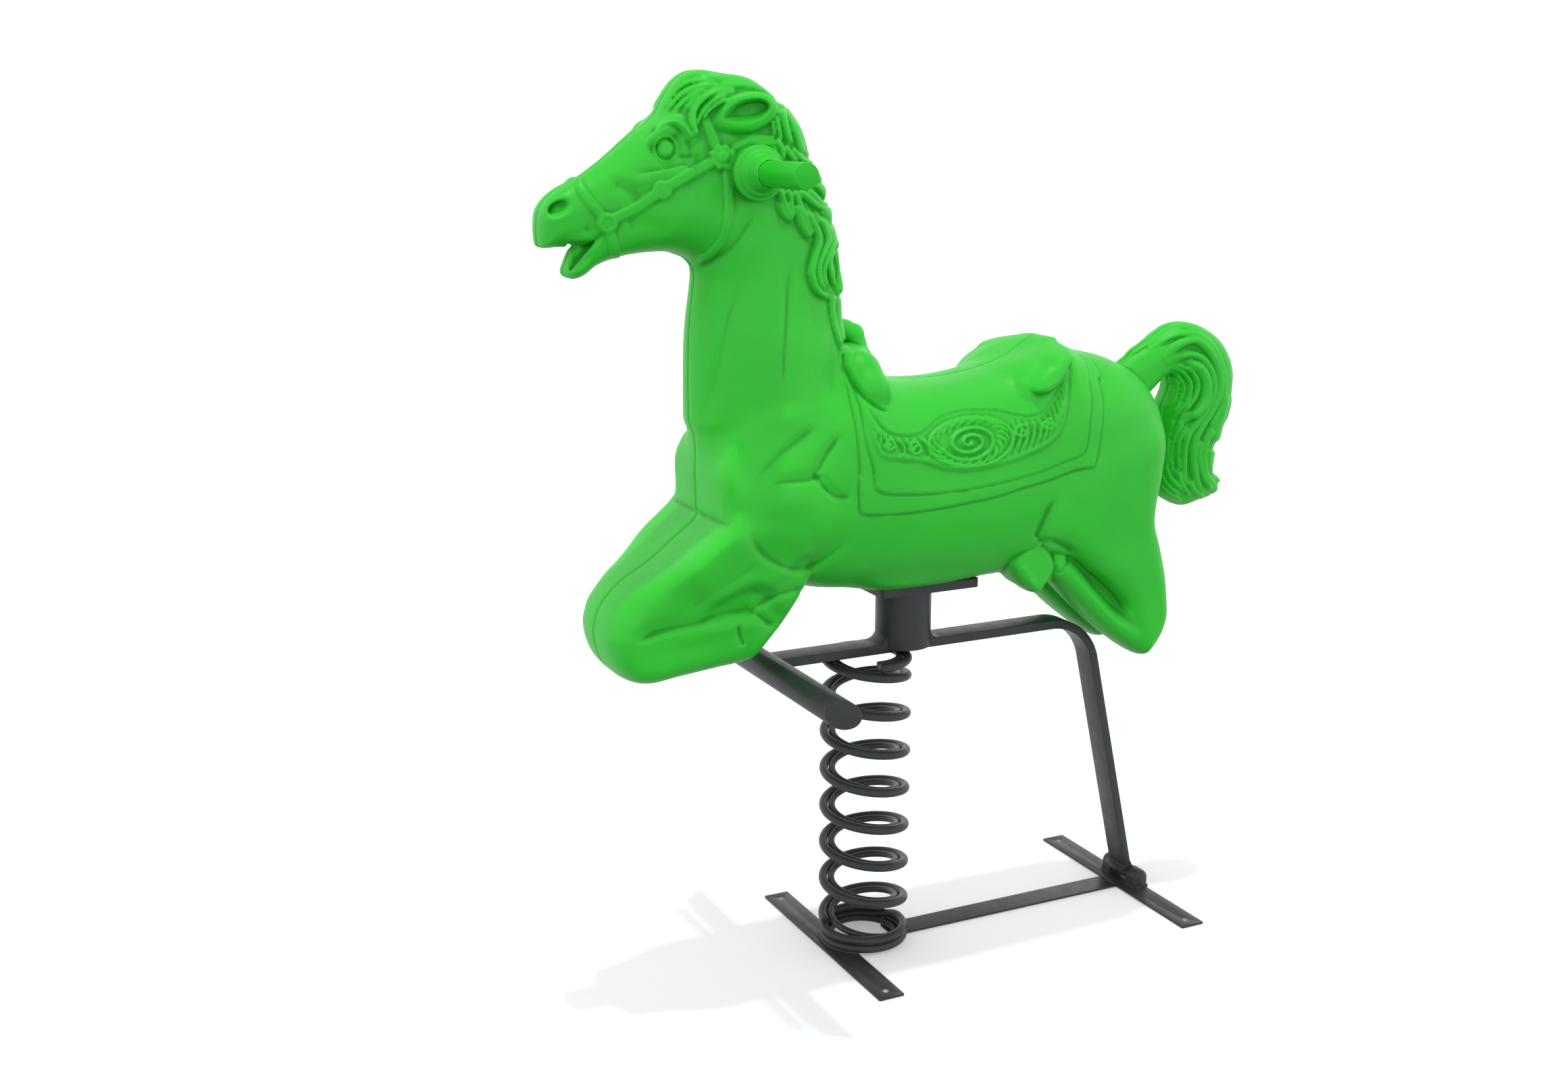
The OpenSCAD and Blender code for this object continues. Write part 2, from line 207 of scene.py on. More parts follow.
def puffed(outline, controls, k, yc=0.0, spread=45, n=6, margin=14):
    """A side outline filled out sideways: at every place it has a half width, the
    depth over which the edge rounds off and how square that rounding is."""
    poly = curve_closed(outline, n)
    lo, hi = poly.min(0) - margin, poly.max(0) + margin
    b = block((lo[0], -1e9, lo[1]), (hi[0], 1e9, hi[1]))
    gx, gz = GX[b[0], b[2]], GZ[b[0], b[2]]
    sd = side_of(poly, gx, gz)
    w, r, p = fields(controls, gx, gz, spread)
    t = np.clip(sd / r, -3, 1)
    a = (1 - t) ** p
    da = p * (1 - t) ** (p - 1) / r
    y = np.abs(ys - yc)[None, :, None]
    p3, w3 = p[:, None, :], w[:, None, :]
    q = y / w3
    q1 = np.power(q, p3 - 1)
    g = a[:, None, :] + q1 * q - 1
    gy = p3 * q1 / w3
    phi = -g / np.sqrt(da[:, None, :] ** 2 + gy ** 2 + 1e-7)
    add(b, np.clip(phi, -60, 60), k)


def chain(pts, radii, k, how="add"):
    """Round limbs through points with radii."""
    p, r = np.asarray(pts, float), np.asarray(radii, float)
    m = r.max() + 26
    b = block(p.min(0) - m, p.max(0) + m)
    x, y, z = xs[b[0]][:, None, None], ys[b[1]][None, :, None], zs[b[2]][None, None, :]
    best = None
    for i in range(len(p) - 1):
        e = p[i + 1] - p[i]
        t = np.clip(((x - p[i][0]) * e[0] + (y - p[i][1]) * e[1] + (z - p[i][2]) * e[2]) / (e @ e), 0, 1)
        d = np.sqrt((x - p[i][0] - t * e[0]) ** 2 + (y - p[i][1] - t * e[1]) ** 2 + (z - p[i][2] - t * e[2]) ** 2)
        phi = r[i] + (r[i + 1] - r[i]) * t - d
        best = phi if best is None else soft_max(best, phi, 6)
    (add if how == "add" else cut)(b, best, k)


def egg(c, rad, k, how="add", turn=0.0):
    """An ellipsoid, turned in the side plane."""
    c, rad = np.asarray(c, float), np.asarray(rad, float)
    m = rad.max() + 20
    b = block(c - m, c + m)
    x, y, z = xs[b[0]][:, None, None] - c[0], ys[b[1]][None, :, None] - c[1], zs[b[2]][None, None, :] - c[2]
    ct, st = math.cos(turn), math.sin(turn)
    x, z = ct * x + st * z, -st * x + ct * z
    q = np.sqrt((x / rad[0]) ** 2 + (y / rad[1]) ** 2 + (z / rad[2]) ** 2)
    g = np.sqrt((x / rad[0] ** 2) ** 2 + (y / rad[1] ** 2) ** 2 + (z / rad[2] ** 2) ** 2)
    phi = np.clip(q * (1 - q) / np.maximum(g, 1e-6), -60, 60)
    (add if how == "add" else cut)(b, phi, k)


# ------------------------------------------------------------------ the figure's masses

BODY = [
    (656, 998), (659, 1010), (658, 1026), (655, 1043), (645, 1056), (630, 1066), (605, 1080), (569, 1105), (534, 1133),
    (512, 1146), (500, 1158), (490, 1173), (479, 1188), (465, 1200), (448, 1206), (420, 1204), (390, 1198),
    (365, 1185), (343, 1168), (324, 1146), (313, 1125), (303, 1104), (292, 1086), (283, 1066), (275, 1038),
    (270, 1008), (260.5, 977), (256, 948), (257, 915), (255, 888), (246, 860), (232, 836), (205, 814),
    (168, 801), (115, 798), (70, 801), (24, 809), (-21, 825), (-51, 842), (-64, 846), (-77, 844),
    (-92, 838), (-106, 835), (-122, 833), (-153, 827), (-180, 817), (-206, 804), (-230, 783), (-248, 755),
    (-260, 720), (-263, 690), (-256, 656), (-244, 622), (-234, 590), (-214, 562), (-185, 545), (-140, 535),
    (-80, 529), (-20, 526), (60, 525), (150, 526), (230, 530), (300, 539), (345, 556), (390, 584),
    (425, 612), (446, 634), (451, 650), (452, 680), (453, 710), (454, 732), (457, 755), (463, 772), (464, 800),
    (464, 828), (463, 870), (460, 910), (456, 940), (455, 958), (462, 976), (480, 985), (500, 989), (545, 986),
    (583, 976), (603, 963), (616, 959), (626, 963), (627, 971), (623, 981), (619, 992), (622, 997),
    (636, 998)]

# x, z, half width, rounding depth, squareness
BODY_AT = [
    (655, 1026, 35, 24, 2.7), (625, 1035, 37, 32, 2.3), (600, 1055, 36, 40, 2.2), (585, 1025, 42, 40, 2.1),
    (560, 1055, 46, 46, 2.1), (530, 1045, 56, 52, 2.1), (520, 1105, 52, 50, 2.2), (500, 1135, 48, 40, 2.2),
    (480, 1040, 63, 56, 2.1), (610, 972, 28, 14, 2.2), (575, 990, 38, 22, 2.1), (520, 1000, 54, 40, 2.1),
    (470, 1170, 46, 40, 2.1), (430, 1150, 54, 50, 2.1), (430, 1090, 62, 60, 2.1), (380, 1160, 50, 46, 2.1),
    (345, 1120, 54, 52, 2.1), (310, 1080, 46, 46, 2.0), (360, 1050, 62, 70, 2.1), (300, 1000, 50, 52, 2.0),
    (360, 980, 66, 86, 2.1), (420, 960, 62, 70, 2.1), (355, 920, 72, 94, 2.1), (280, 930, 58, 60, 2.0),
    (355, 850, 82, 100, 2.1), (430, 840, 70, 72, 2.1), (290, 850, 84, 80, 2.1), (350, 780, 96, 106, 2.2),
    (440, 775, 67, 66, 2.0), (425, 765, 78, 70, 2.1), (445, 725, 78, 56, 2.4), (440, 690, 84, 54, 2.8), (440, 650, 88, 50, 3.0), (400, 690, 104, 60, 3.0), (360, 700, 111, 100, 2.4), (300, 740, 112, 120, 2.3),
    (300, 640, 113, 120, 2.2), (220, 760, 112, 128, 2.5), (120, 770, 112, 130, 2.6), (20, 770, 112, 130, 2.6),
    (-60, 780, 112, 120, 2.6), (220, 640, 113, 136, 2.2), (100, 620, 113, 138, 2.2), (-20, 640, 113, 138, 2.2),
    (-120, 760, 112, 120, 2.4), (-130, 650, 113, 120, 2.2), (-200, 720, 108, 104, 2.2), (-230, 660, 102, 90, 2.2),
    (-200, 590, 100, 70, 2.2)]
puffed(BODY, BODY_AT, 1.0, spread=34)

# flat front of the chest
CHEST = [(451, 644), (453, 680), (454, 706), (452, 722), (447, 734), (439, 747), (424, 757), (400, 760), (372, 746), (352, 705), (352, 665), (380, 640), (420, 628), (440, 632)]
puffed(CHEST, [(450, 690, 97, 40, 5.0), (443, 738, 92, 30, 5.0), (412, 748, 78, 40, 3.0), (376, 738, 78, 40, 3.0), (400, 700, 96, 46, 3.4), (360, 690, 98, 60, 2.8)], 9, spread=20)

# pad under the belly that the plate is bedded in
puffed([(18, 562), (38, 547), (60, 538), (90, 531), (120, 528), (170, 527), (204, 530), (230, 545), (222, 575), (120, 586), (30, 578)],
       [(120, 550, 64, 26, 3.0)], 18, spread=60)

FORELEG = [
    (436, 690), (446, 662), (452, 649), (467, 636), (485, 623), (515, 600), (541, 584), (560, 573),
    (578, 557), (590, 542), (596, 526), (599, 509), (596, 488), (587, 467), (570, 450), (543, 442),
    (500, 446), (450, 451), (415, 455), (396, 460), (381, 474), (350, 508), (320, 551), (300, 602),
    (305, 660), (350, 700), (400, 712)]
FORELEG_AT = [
    (432, 684, 88, 44, 3.0), (404, 694, 92, 60, 2.8), (360, 690, 96, 70, 2.6), (452, 650, 112, 32, 9.0), (468, 632, 112, 34, 9.0), (485, 620, 108, 36, 8.0), (515, 598, 102, 40, 7.0), (541, 580, 88, 44, 4.4), (560, 566, 79, 42, 3.3),
    (585, 545, 76, 40, 2.9), (590, 500, 76, 38, 3.0), (560, 470, 77, 40, 3.0), (560, 530, 79, 44, 3.2), (520, 560, 86, 46, 4.0),
    (500, 480, 78, 44, 3.0), (430, 520, 82, 48, 3.0), (460, 600, 102, 44, 5.5), (380, 480, 76, 30, 2.8), (390, 620, 100, 56, 3.4),
    (330, 560, 90, 50, 2.6), (320, 640, 104, 70, 2.6)]
puffed(FORELEG, FORELEG_AT, 6, spread=20)

# thigh: outwards of the gap between the two hind legs
THIGH = [
    (-226, 720), (-228, 660), (-221, 600), (-233, 556), (-246, 510), (-252, 470), (-253, 448), (-248, 430),
    (-238, 413), (-226, 400), (-214, 393), (-200, 410), (-186, 440), (-172, 474), (-148, 500), (-120, 522),
    (-96, 544), (-76, 560), (-52, 574), (-30, 582), (-10, 592), (-14, 630), (-50, 680), (-120, 730), (-190, 740)]
THIGH_AT = [
    (-180, 690, 52, 60, 2.4), (-200, 560, 42, 36, 2.5), (-240, 450, 37, 26, 2.4), (-150, 560, 43, 36, 2.5),
    (-80, 600, 45, 34, 2.4), (-100, 660, 50, 50, 2.4)]
puffed(THIGH, THIGH_AT, 16, yc=61, spread=34)

# lower hind leg, folded forwards under the thigh
SHANK = [
    (-247, 432), (-234, 403), (-220, 391), (-200, 397), (-150, 434), (-116, 464), (-78, 501), (-46, 532),
    (-30, 550), (-48, 562), (-80, 552), (-110, 524), (-140, 492), (-170, 464), (-205, 450), (-236, 446)]
SHANK_AT = [(-230, 415, 42, 26, 2.5), (-130, 475, 38, 26, 2.5), (-70, 530, 37, 24, 2.5), (-40, 545, 34, 20, 2.4)]
puffed(SHANK, SHANK_AT, 7, yc=51, spread=34)
# floor of the hollow between thigh and lower leg
WEB = [(-234, 444), (-206, 424), (-170, 448), (-130, 484), (-96, 518), (-74, 548), (-96, 566), (-130, 548), (-164, 520), (-196, 486), (-226, 470)]
puffed(WEB, [(-150, 492, 24, 14, 2.4)], 6, yc=46, spread=34)
egg((-194, 53, 448), (30, 30, 22), 14, turn=1.0)

# hind fetlock and hoof
egg((-61, 57, 544), (22, 29, 24), 6, turn=0.6)
HOOF = [(-52, 531), (-32, 511), (-23, 506), (-14, 512), (0, 521), (15, 539), (20, 557), (3, 576), (-24, 589), (-40, 579), (-54, 555)]
puffed(HOOF, [(-36, 542, 33, 16, 2.6), (-1, 547, 36, 12, 2.8)], 3, yc=57, spread=20)

# the tail
TAIL = [
    (-180, 784), (-193, 800), (-226, 821), (-252, 835), (-277, 850), (-296, 859), (-323, 861), (-350, 851),
    (-376, 834), (-393, 811), (-401, 787), (-401, 765), (-399, 743), (-394, 721), (-386, 708), (-382, 692),
    (-377, 678), (-373, 660), (-373, 641), (-379, 631), (-387, 625), (-390, 612), (-386, 603), (-362, 596),
    (-330, 589), (-308, 596), (-286, 612), (-280, 640), (-281, 675), (-283, 710), (-287, 742), (-296, 766),
    (-297, 786), (-284, 786), (-266, 770), (-240, 750), (-205, 740)]
TAIL_AT = [
    (-210, 785, 24, 30, 2.2), (-250, 815, 27, 30, 2.2), (-300, 832, 30, 30, 2.2), (-350, 810, 33, 36, 2.2),
    (-365, 760, 35, 38, 2.2), (-350, 700, 35, 38, 2.2), (-335, 650, 32, 36, 2.2), (-340, 610, 24, 22, 2.2)]
puffed(TAIL, TAIL_AT, 6, spread=30)

# saddle fork over the withers, with its horn
chain([(245, 0, 848), (245, 26, 843), (245, 52, 828), (242, 74, 808)], [15, 16.5, 18.5, 18.5], 5)
chain([(258, 0, 880), (240, 0, 880), (226, 0, 872), (222, 0, 856), (228, 0, 842)], [9.5, 12, 13.5, 14, 13], 5)
# brow over the eye
egg((511, 40, 1128), (19, 9, 10), 6, turn=-0.5)
# side wings of the cantle
egg((-40, 54, 804), (47, 36, 25), 9, turn=-0.36)
egg((-30, 44, 810), (48, 38, 17), 9, turn=-0.42)
chain([(-58, 0, 835), (-66, 14, 834), (-71, 27, 834), (-72, 42, 829), (-69, 52, 821), (-60, 62, 813), (-45, 72, 804), (-20, 79, 797), (1, 82, 792)],
      [8.5, 8.5, 8.5, 8.5, 8.5, 8, 8, 7, 7], 7)

# ------------------------------------------------------------------ surface drawing
# Where the smooth surface lies in the picture, so that lines can be drawn on it.
rev = vol[:, ::-1, :] > 0
last = rev.argmax(1)
some = rev.any(1)
top_i = np.clip(len(ys) - 1 - last, 0, len(ys) - 2)
I, K = np.indices(top_i.shape)
va, vb = vol[I, top_i, K], vol[I, top_i + 1, K]
H = np.where(some, ys[top_i] + VOX * va / np.maximum(va - vb, 1e-6), 0).astype(np.float32)
H = np.maximum(H, 0)
# just above the cantle's top a line belongs to the shoulder below it
near_top = step((44 - H) / 24) * step((GX + 156) / 16) * step((-6 - GX) / 30) * step((GZ - 806) / 10)
below = H.copy()
for k in range(1, int(12 / VOX) + 1):
    below[:, k:] = np.maximum(below[:, k:], H[:, :-k])
H = H + near_top * np.maximum(np.minimum(below, 48) - H, 0)
H = blur(H, 4.0 / VOX)
PU, PV = to_picture(GX, H, GZ)
relief = np.zeros(GX.shape, np.float32)
hair = np.zeros(GX.shape, np.float32)

# scale of the enlarged views that the lines were read from: left, top, enlargement
VIEWS = {"head": (760, 80, 3.136), "neck": (760, 380, 2.24), "chest": (860, 560, 3.136), "saddle": (1200, 460, 2.376),
         "blanket": (1260, 560, 3.564), "tail": (1600, 440, 4.612), "hind": (1440, 780, 4.9), "fore": (860, 640, 4.126),
         "fork": (1200, 430, 5.407), "mane": (1060, 120, 7.467), "mane2": (1120, 300, 5.807), "lock": (940, 80, 7.127), "lip": (760, 60, 3.2667)}


def at(view, pts):
    x0, y0, s = VIEWS[view]
    return [(x0 + a / s, y0 + b / s) for a, b in pts]


def near(line, reach):
    """Cells within reach of a line: indices, distance, share along it, signed side."""
    p = np.asarray(line, float)
    m = (PU > p[:, 0].min() - reach) & (PU < p[:, 0].max() + reach) & (PV > p[:, 1].min() - reach) & (PV < p[:, 1].max() + reach)
    i = np.nonzero(m)
    px, py = PU[i], PV[i]
    seg = np.linalg.norm(np.diff(p, axis=0), axis=1)
    run = np.concatenate([[0], np.cumsum(seg)])
    d = np.full(px.shape, 1e9)
    s = np.zeros(px.shape)
    side = np.zeros(px.shape)
    for k in range(len(p) - 1):
        e = p[k + 1] - p[k]
        wx, wy = px - p[k][0], py - p[k][1]
        t = np.clip((wx * e[0] + wy * e[1]) / max(e @ e, 1e-9), 0, 1)
        dd = np.hypot(wx - t * e[0], wy - t * e[1])
        c = dd < d
        d = np.where(c, dd, d)
        s = np.where(c, (run[k] + t * seg[k]) / run[-1], s)
        side = np.where(c, np.sign(e[0] * wy - e[1] * wx), side)
    keep = d < reach
    return (i[0][keep], i[1][keep]), d[keep], s[keep], (d * side)[keep]


def fade(s, a=0.18, b=0.18):
    """Runs a line's ends out."""
    return step(s / max(a, 1e-6)) * step((1 - s) / max(b, 1e-6))


def groove(line, w, depth, ends=(0.15, 0.15), n=6):
    i, d, s, _ = near(curve_open(line, n), 3 * w)
    np.subtract.at(relief, i, (depth * np.exp(-(d / w) ** 2) * fade(s, *ends)).astype(np.float32))


def ridge(line, w, height, ends=(0.15, 0.15)):
    groove(line, w, -height, ends)


def fold(line, w, depth, bulge, reach, side, ends=(0.15, 0.15)):
    """A crease with the flesh on one side swelling over it; side 1 is right of the
    line's direction as seen in the picture, -1 is left."""
    groove(line, w, depth, ends)
    i, d, s, sd = near(curve_open(line), reach * 2.2)
    q = sd * side
    v = bulge * step((q + w) / (2 * w)) * np.exp(-(np.maximum(q, 0) / reach) ** 2) * fade(s, *ends)
    np.add.at(relief, i, v.astype(np.float32))


def crease(line, wl, wr, depth, ends=(0.15, 0.15)):
    """A V-shaped crease whose two walls have their own widths, left and right of
    the line's direction as seen in the picture."""
    i, d, s, sd = near(curve_open(line), max(wl, wr) * 1.02)
    w = np.where(sd < 0, wl, wr)
    v = depth * np.clip(1 - d / w, 0, 1) ** 1.5 * fade(s, *ends)
    np.subtract.at(soft, i, v.astype(np.float32))


def lock(line, w0, w1, h, ends=(0.10, 0.12), target=None):
    """One lock of hair: a round ridge that narrows along its length."""
    i, d, s, _ = near(curve_open(line), max(w0, w1) * 1.05)
    w = w0 + (w1 - w0) * s
    v = h * np.sqrt(np.clip(1 - (d / w) ** 2, 0, 1)) * (0.25 + 0.75 * fade(s, *ends))
    t = hair if target is None else target
    np.maximum.at(t, i, v.astype(np.float32))


def raised(outline, h, edge, n=6):
    """Lifts everything inside an outline."""
    p = curve_closed(outline, n) if n > 1 else np.asarray(outline, float)
    m = (PU > p[:, 0].min() - edge) & (PU < p[:, 0].max() + edge) & (PV > p[:, 1].min() - edge) & (PV < p[:, 1].max() + edge)
    i = np.nonzero(m)
    d = side_of(p, PU[i], PV[i])
    np.add.at(relief, i, (h * step(d / edge * 0.5 + 0.5)).astype(np.float32))
    return i, d


def strap(line, half, h, edge=1.7):
    i, d, s, _ = near(curve_open(line), half + edge * 2)
    np.maximum.at(straps, i, (h * step((half - d) / edge * 0.5 + 0.5)).astype(np.float32))


def disc(c, r, profile):
    """A round boss; profile is rows of [share of the radius, height]."""
    i = np.nonzero((PU - c[0]) ** 2 + (PV - c[1]) ** 2 < (1.6 * r) ** 2)
    q = np.hypot(PU[i] - c[0], PV[i] - c[1]) / r
    a = np.asarray(profile, float)
    np.maximum.at(straps, i, np.interp(q, a[:, 0], a[:, 1]).astype(np.float32))


def dome(c, rx, ry, turn, h, power=1.0):
    """A soft swelling, or a hollow when h is negative."""
    x, y = PU - c[0], PV - c[1]
    ct, st = math.cos(turn), math.sin(turn)
    q = ((ct * x + st * y) / rx) ** 2 + ((-st * x + ct * y) / ry) ** 2
    i = np.nonzero(q < 9)
    np.add.at(relief, i, (h * np.exp(-(q[i] ** power))).astype(np.float32))


straps = np.zeros(GX.shape, np.float32)
soft = np.zeros(GX.shape, np.float32)

# --- saddle blanket, its border, the skirt and the seat
BLANKET = (at("fork", [(250, 560), (270, 640), (300, 760), (322, 900), (350, 1020), (372, 1150), (388, 1300), (400, 1500)])
           + at("blanket", [(44, 500), (45, 670), (62, 716), (150, 722), (300, 712), (450, 690), (600, 660), (760, 625),
                            (900, 580), (1050, 535), (1160, 490), (1230, 476), (1274, 471), (1290, 440), (1310, 330),
                            (1325, 200), (1322, 100), (1300, 0)])
           + at("saddle", [(1022, 240), (1003, 200), (972, 160), (930, 130), (900, 60), (600, 40), (300, 160)])
           + at("fork", [(290, 420)]))
raised(BLANKET, 3.2, 1.8, 3)
BORDER = (at("fork", [(282, 600), (302, 680), (340, 790), (390, 950), (420, 1130), (450, 1270), (490, 1400), (512, 1540)])
          + at("blanket", [(112, 470), (118, 555), (140, 596), (200, 610), (330, 612), (480, 603), (650, 580), (850, 535),
                           (1000, 490), (1120, 440), (1195, 410), (1232, 370), (1250, 250), (1262, 120), (1240, 0)])
          + at("saddle", [(957, 195), (928, 150), (900, 80), (600, 60), (300, 170)])
          + at("fork", [(305, 450)]))
raised(BORDER, 2.2, 1.7, 3)
groove(BORDER[:-6], 1.9, 1.8, (0.01, 0.01), 3)
groove(BLANKET[:-5], 2.0, 1.6, (0.01, 0.01), 3)
SEAT_EDGE = at("saddle", [(160, 270), (185, 330), (215, 375), (260, 424), (320, 437), (370, 430), (402, 405), (440, 370), (500, 351),
                          (560, 345), (640, 348), (700, 362), (750, 368), (795, 357), (828, 315), (868, 255), (892, 225)])
SKIRT_EDGE = at("saddle", [(893, 225), (893, 300), (885, 370), (862, 428), (820, 470), (740, 510), (650, 540), (570, 557), (500, 560),
                           (440, 545), (400, 531), (330, 522), (252, 513), (230, 492), (202, 420), (182, 340)])
raised(SEAT_EDGE + SKIRT_EDGE[1:-1], 2.6, 2.6, 3)
raised(SEAT_EDGE + at("saddle", [(884, 170), (866, 112), (826, 60), (600, 40), (300, 150), (140, 112), (128, 166), (137, 218), (152, 258)]), 4.2, 3.0, 3)
groove(SEAT_EDGE, 1.9, 1.6, (0.02, 0.02))
ridge([(a + 1.5, b - 6) for a, b in SKIRT_EDGE[3:-3]], 2.4, 1.2, (0.1, 0.1))

# line where the fork's lobe lies on the blanket
groove([(1248, 519), (1252, 545), (1262, 570), (1278, 590), (1298, 604), (1314, 608)], 2.6, 3.6, (0.1, 0.15))

# rolled rim of the cantle
RIM = at("saddle", [(712, 248), (735, 266), (764, 283), (800, 287), (830, 272), (856, 246), (874, 210), (880, 168), (873, 138), (858, 116), (826, 98)])
i, d, s, sd = near(curve_open(RIM), 90)
inner = sd < 0
lift = np.where(inner, 12.0 * np.sqrt(np.clip(1 - (1 - np.clip(d / 13, 0, 1)) ** 2, 0, 1)) * np.exp(-(np.maximum(d - 15, 0) / 34) ** 2), 0)
np.add.at(relief, i, (lift * step((PU[i] - 1498) / 30) * step((PV[i] - 502) / 24) * step((H[i] - 24) / 30) * step((GX[i] + 83) / 13)).astype(np.float32))

# --- generic scrollwork on the skirt
scroll = np.zeros(GX.shape, np.float32)


def spiral(c, r0, r1, turns, start, squash=0.62, tilt=-0.1, w=2.2, h=1.5):
    a = np.linspace(0, 1, 60)
    ang = start + a * turns * 2 * math.pi
    rad = r0 + (r1 - r0) * a
    x, y = rad * np.cos(ang), squash * rad * np.sin(ang)
    pts = np.stack([c[0] + x * math.cos(tilt) - y * math.sin(tilt), c[1] + x * math.sin(tilt) + y * math.cos(tilt)], 1)
    i, d, s, _ = near(pts, w * 1.1)
    np.maximum.at(scroll, i, (h * np.sqrt(np.clip(1 - (d / w) ** 2, 0, 1))).astype(np.float32))


def leaf(line, w, h):
    lock(line, w, w * 0.35, h, (0.3, 0.3), scroll)


mid = at("saddle", [(548, 458)])[0]
spiral(mid, 3, 42, 2.4, 0.4, 0.68, -0.12, 2.8, 3.4)
spiral(mid, 60, 66, 0.96, 2.3, 0.58, -0.12, 2.4, 3.0)
for k in range(20):
    a = -3.5 + k * 0.3142
    q = [(mid[0] + r * math.cos(a + t), mid[1] - 0.12 * r * math.cos(a + t) + 0.63 * r * math.sin(a + t)) for r, t in ((44, -0.10), (50, 0.08), (55, 0.30), (58, 0.52))]
    leaf(q, 3.1, 3.2)


def along(line, n):
    """n points spread evenly over a line."""
    c = curve_open(line)
    run = np.concatenate([[0], np.cumsum(np.linalg.norm(np.diff(c, axis=0), axis=1))])
    return np.stack([np.interp(np.linspace(0, run[-1], n), run, c[:, j]) for j in (0, 1)], 1)


BAND_UP, BAND_LOW = along(SEAT_EDGE, 101), along(SKIRT_EDGE[::-1], 101)


def in_band(t, v):
    """A place in the skirt's band: t from the fork to the cantle, v from the seat down."""
    k = np.clip(t, 0, 1) * 100
    f = [np.interp(k, np.arange(101), e[:, j]) for e in (BAND_UP, BAND_LOW) for j in (0, 1)]
    return f[0] * (1 - v) + f[2] * v, f[1] * (1 - v) + f[3] * v


for k in range(11):
    t = 0.03 + 0.030 * k
    leaf([in_band(t - 0.004, 0.10), in_band(t + 0.012, 0.36), in_band(t + 0.016, 0.64), in_band(t + 0.002, 0.90)], 2.9, 3.4)
for k in range(12):
    t = 0.655 + 0.026 * k
    leaf([in_band(t - 0.045, 0.90), in_band(t - 0.006, 0.66), in_band(t + 0.026, 0.38), in_band(t + 0.040, 0.10)], 3.0, 3.4)
for t, v, r, t0, tn in ((0.10, 0.5, 8, 2.6, 1.2), (0.20, 0.52, 10, 0.2, -1.3), (0.30, 0.5, 12, 2.6, 1.3), (0.70, 0.48, 12, 3.4, 1.3), (0.80, 0.5, 10, 0.5, -1.3)):
    spiral(in_band(t, v), 2.0, r, tn, t0, 0.9, 0.1, 2.2, 3.0)
inside = side_of(curve_closed(SEAT_EDGE + SKIRT_EDGE[1:-1], 3), PU, PV)
relief += (scroll - 1.2) * step((inside - 3.0) / 2.5)

# --- head
hd = lambda *p: at("head", p)
dome(hd((225, 640))[0], 26, 16, -0.5, 3.0)
dome(hd((208, 716))[0], 17, 10.5, -0.42, -11.0, 2.0)
dome(hd((205, 720))[0], 24, 17, -0.42, 2.6, 2.0)
dome(hd((160, 790))[0], 26, 18, 0.2, 2.0)
fold(hd((250, 884), (300, 892), (352, 880), (392, 852), (410, 822)), 4.5, 6.0, 2.0, 12, -1, (0.02, 0.3))
dome(hd((318, 894))[0], 14, 7, -0.2, -5.0)
ridge(hd((262, 1000), (300, 950), (365, 905), (410, 862)), 5, 2.2, (0.1, 0.3))
groove(hd((330, 800), (360, 830), (375, 860)), 7, 2.0)
# eye
EYE_C = hd((710, 441))[0]
dome(EYE_C, 25, 22, 0.25, -4.5, 2.0)
dome(EYE_C, 12.6, 14.2, 0.2, 7.0, 2.0)
i = np.nonzero((PU - EYE_C[0]) ** 2 + (PV - EYE_C[1]) ** 2 < 30 ** 2)
q = np.hypot((PU[i] - EYE_C[0]) / 0.93, (PV[i] - EYE_C[1]) / 1.04)
np.add.at(relief, i, (-4.0 * np.exp(-((q - 14.4) / 1.6) ** 2) + 2.8 * np.exp(-((q - 17.8) / 2.0) ** 2)).astype(np.float32))
fold(hd((632, 360), (690, 322), (750, 332), (800, 380), (828, 440), (815, 478)), 5, 1.5, 6.5, 13, -1, (0.2, 0.1))
groove(hd((772, 472), (810, 476), (832, 462)), 3, 2.6)
ridge(hd((650, 360), (720, 318), (780, 345), (822, 410)), 9, 3.2)
# bones and hollows of the cheek
fold(hd((812, 508), (720, 530), (620, 547), (540, 560)), 3.2, 2.2, 1.2, 16, -1, (0.05, 0.35))
groove(hd((440, 596), (510, 614), (560, 645), (610, 672)), 11, 3.4, (0.3, 0.3))
ridge(hd((480, 585), (560, 590), (650, 580)), 10, 1.5)
dome(hd((560, 520))[0], 40, 12, -0.5, 1.5)
dome(hd((860, 760))[0], 52, 44, 0.3, 4.0)
crease(hd((1140, 700), (1085, 800), (1010, 900), (900, 975), (820, 990)), 26, 12, 4.5, (0.3, 0.2))
groove(hd((520, 800), (640, 790), (720, 830)), 12, 2.0)
dome(hd((620, 420))[0], 30, 10, -0.7, 1.5)

# bridle
strap(hd((287, 588), (315, 632), (358, 690), (408, 752)), 6.4, 2.8)
strap(hd((462, 768), (560, 722), (640, 665), (690, 632), (760, 590), (930, 496)), 7.8, 2.9)
strap(hd((448, 838), (462, 880), (470, 925)), 7.2, 2.6)
strap(hd((888, 310), (912, 362), (936, 420)), 6.8, 2.8)
strap(hd((1012, 462), (1060, 425), (1120, 402), (1180, 402)), 8.2, 2.8)
strap(hd((992, 530), (998, 640), (996, 740), (972, 850), (905, 935), (870, 950)), 6.2, 2.6)
ROSE = [(0, 3.2), (0.34, 3.4), (0.42, 2.0), (0.52, 3.9), (0.8, 3.9), (0.95, 3.2), (1.06, 0)]
disc(hd((434, 787))[0], 15.5, ROSE)
disc(hd((690, 632))[0], 14, [(0, 3.2), (0.5, 3.3), (0.62, 2.3), (0.74, 3.3), (0.92, 3.0), (1.08, 0)])
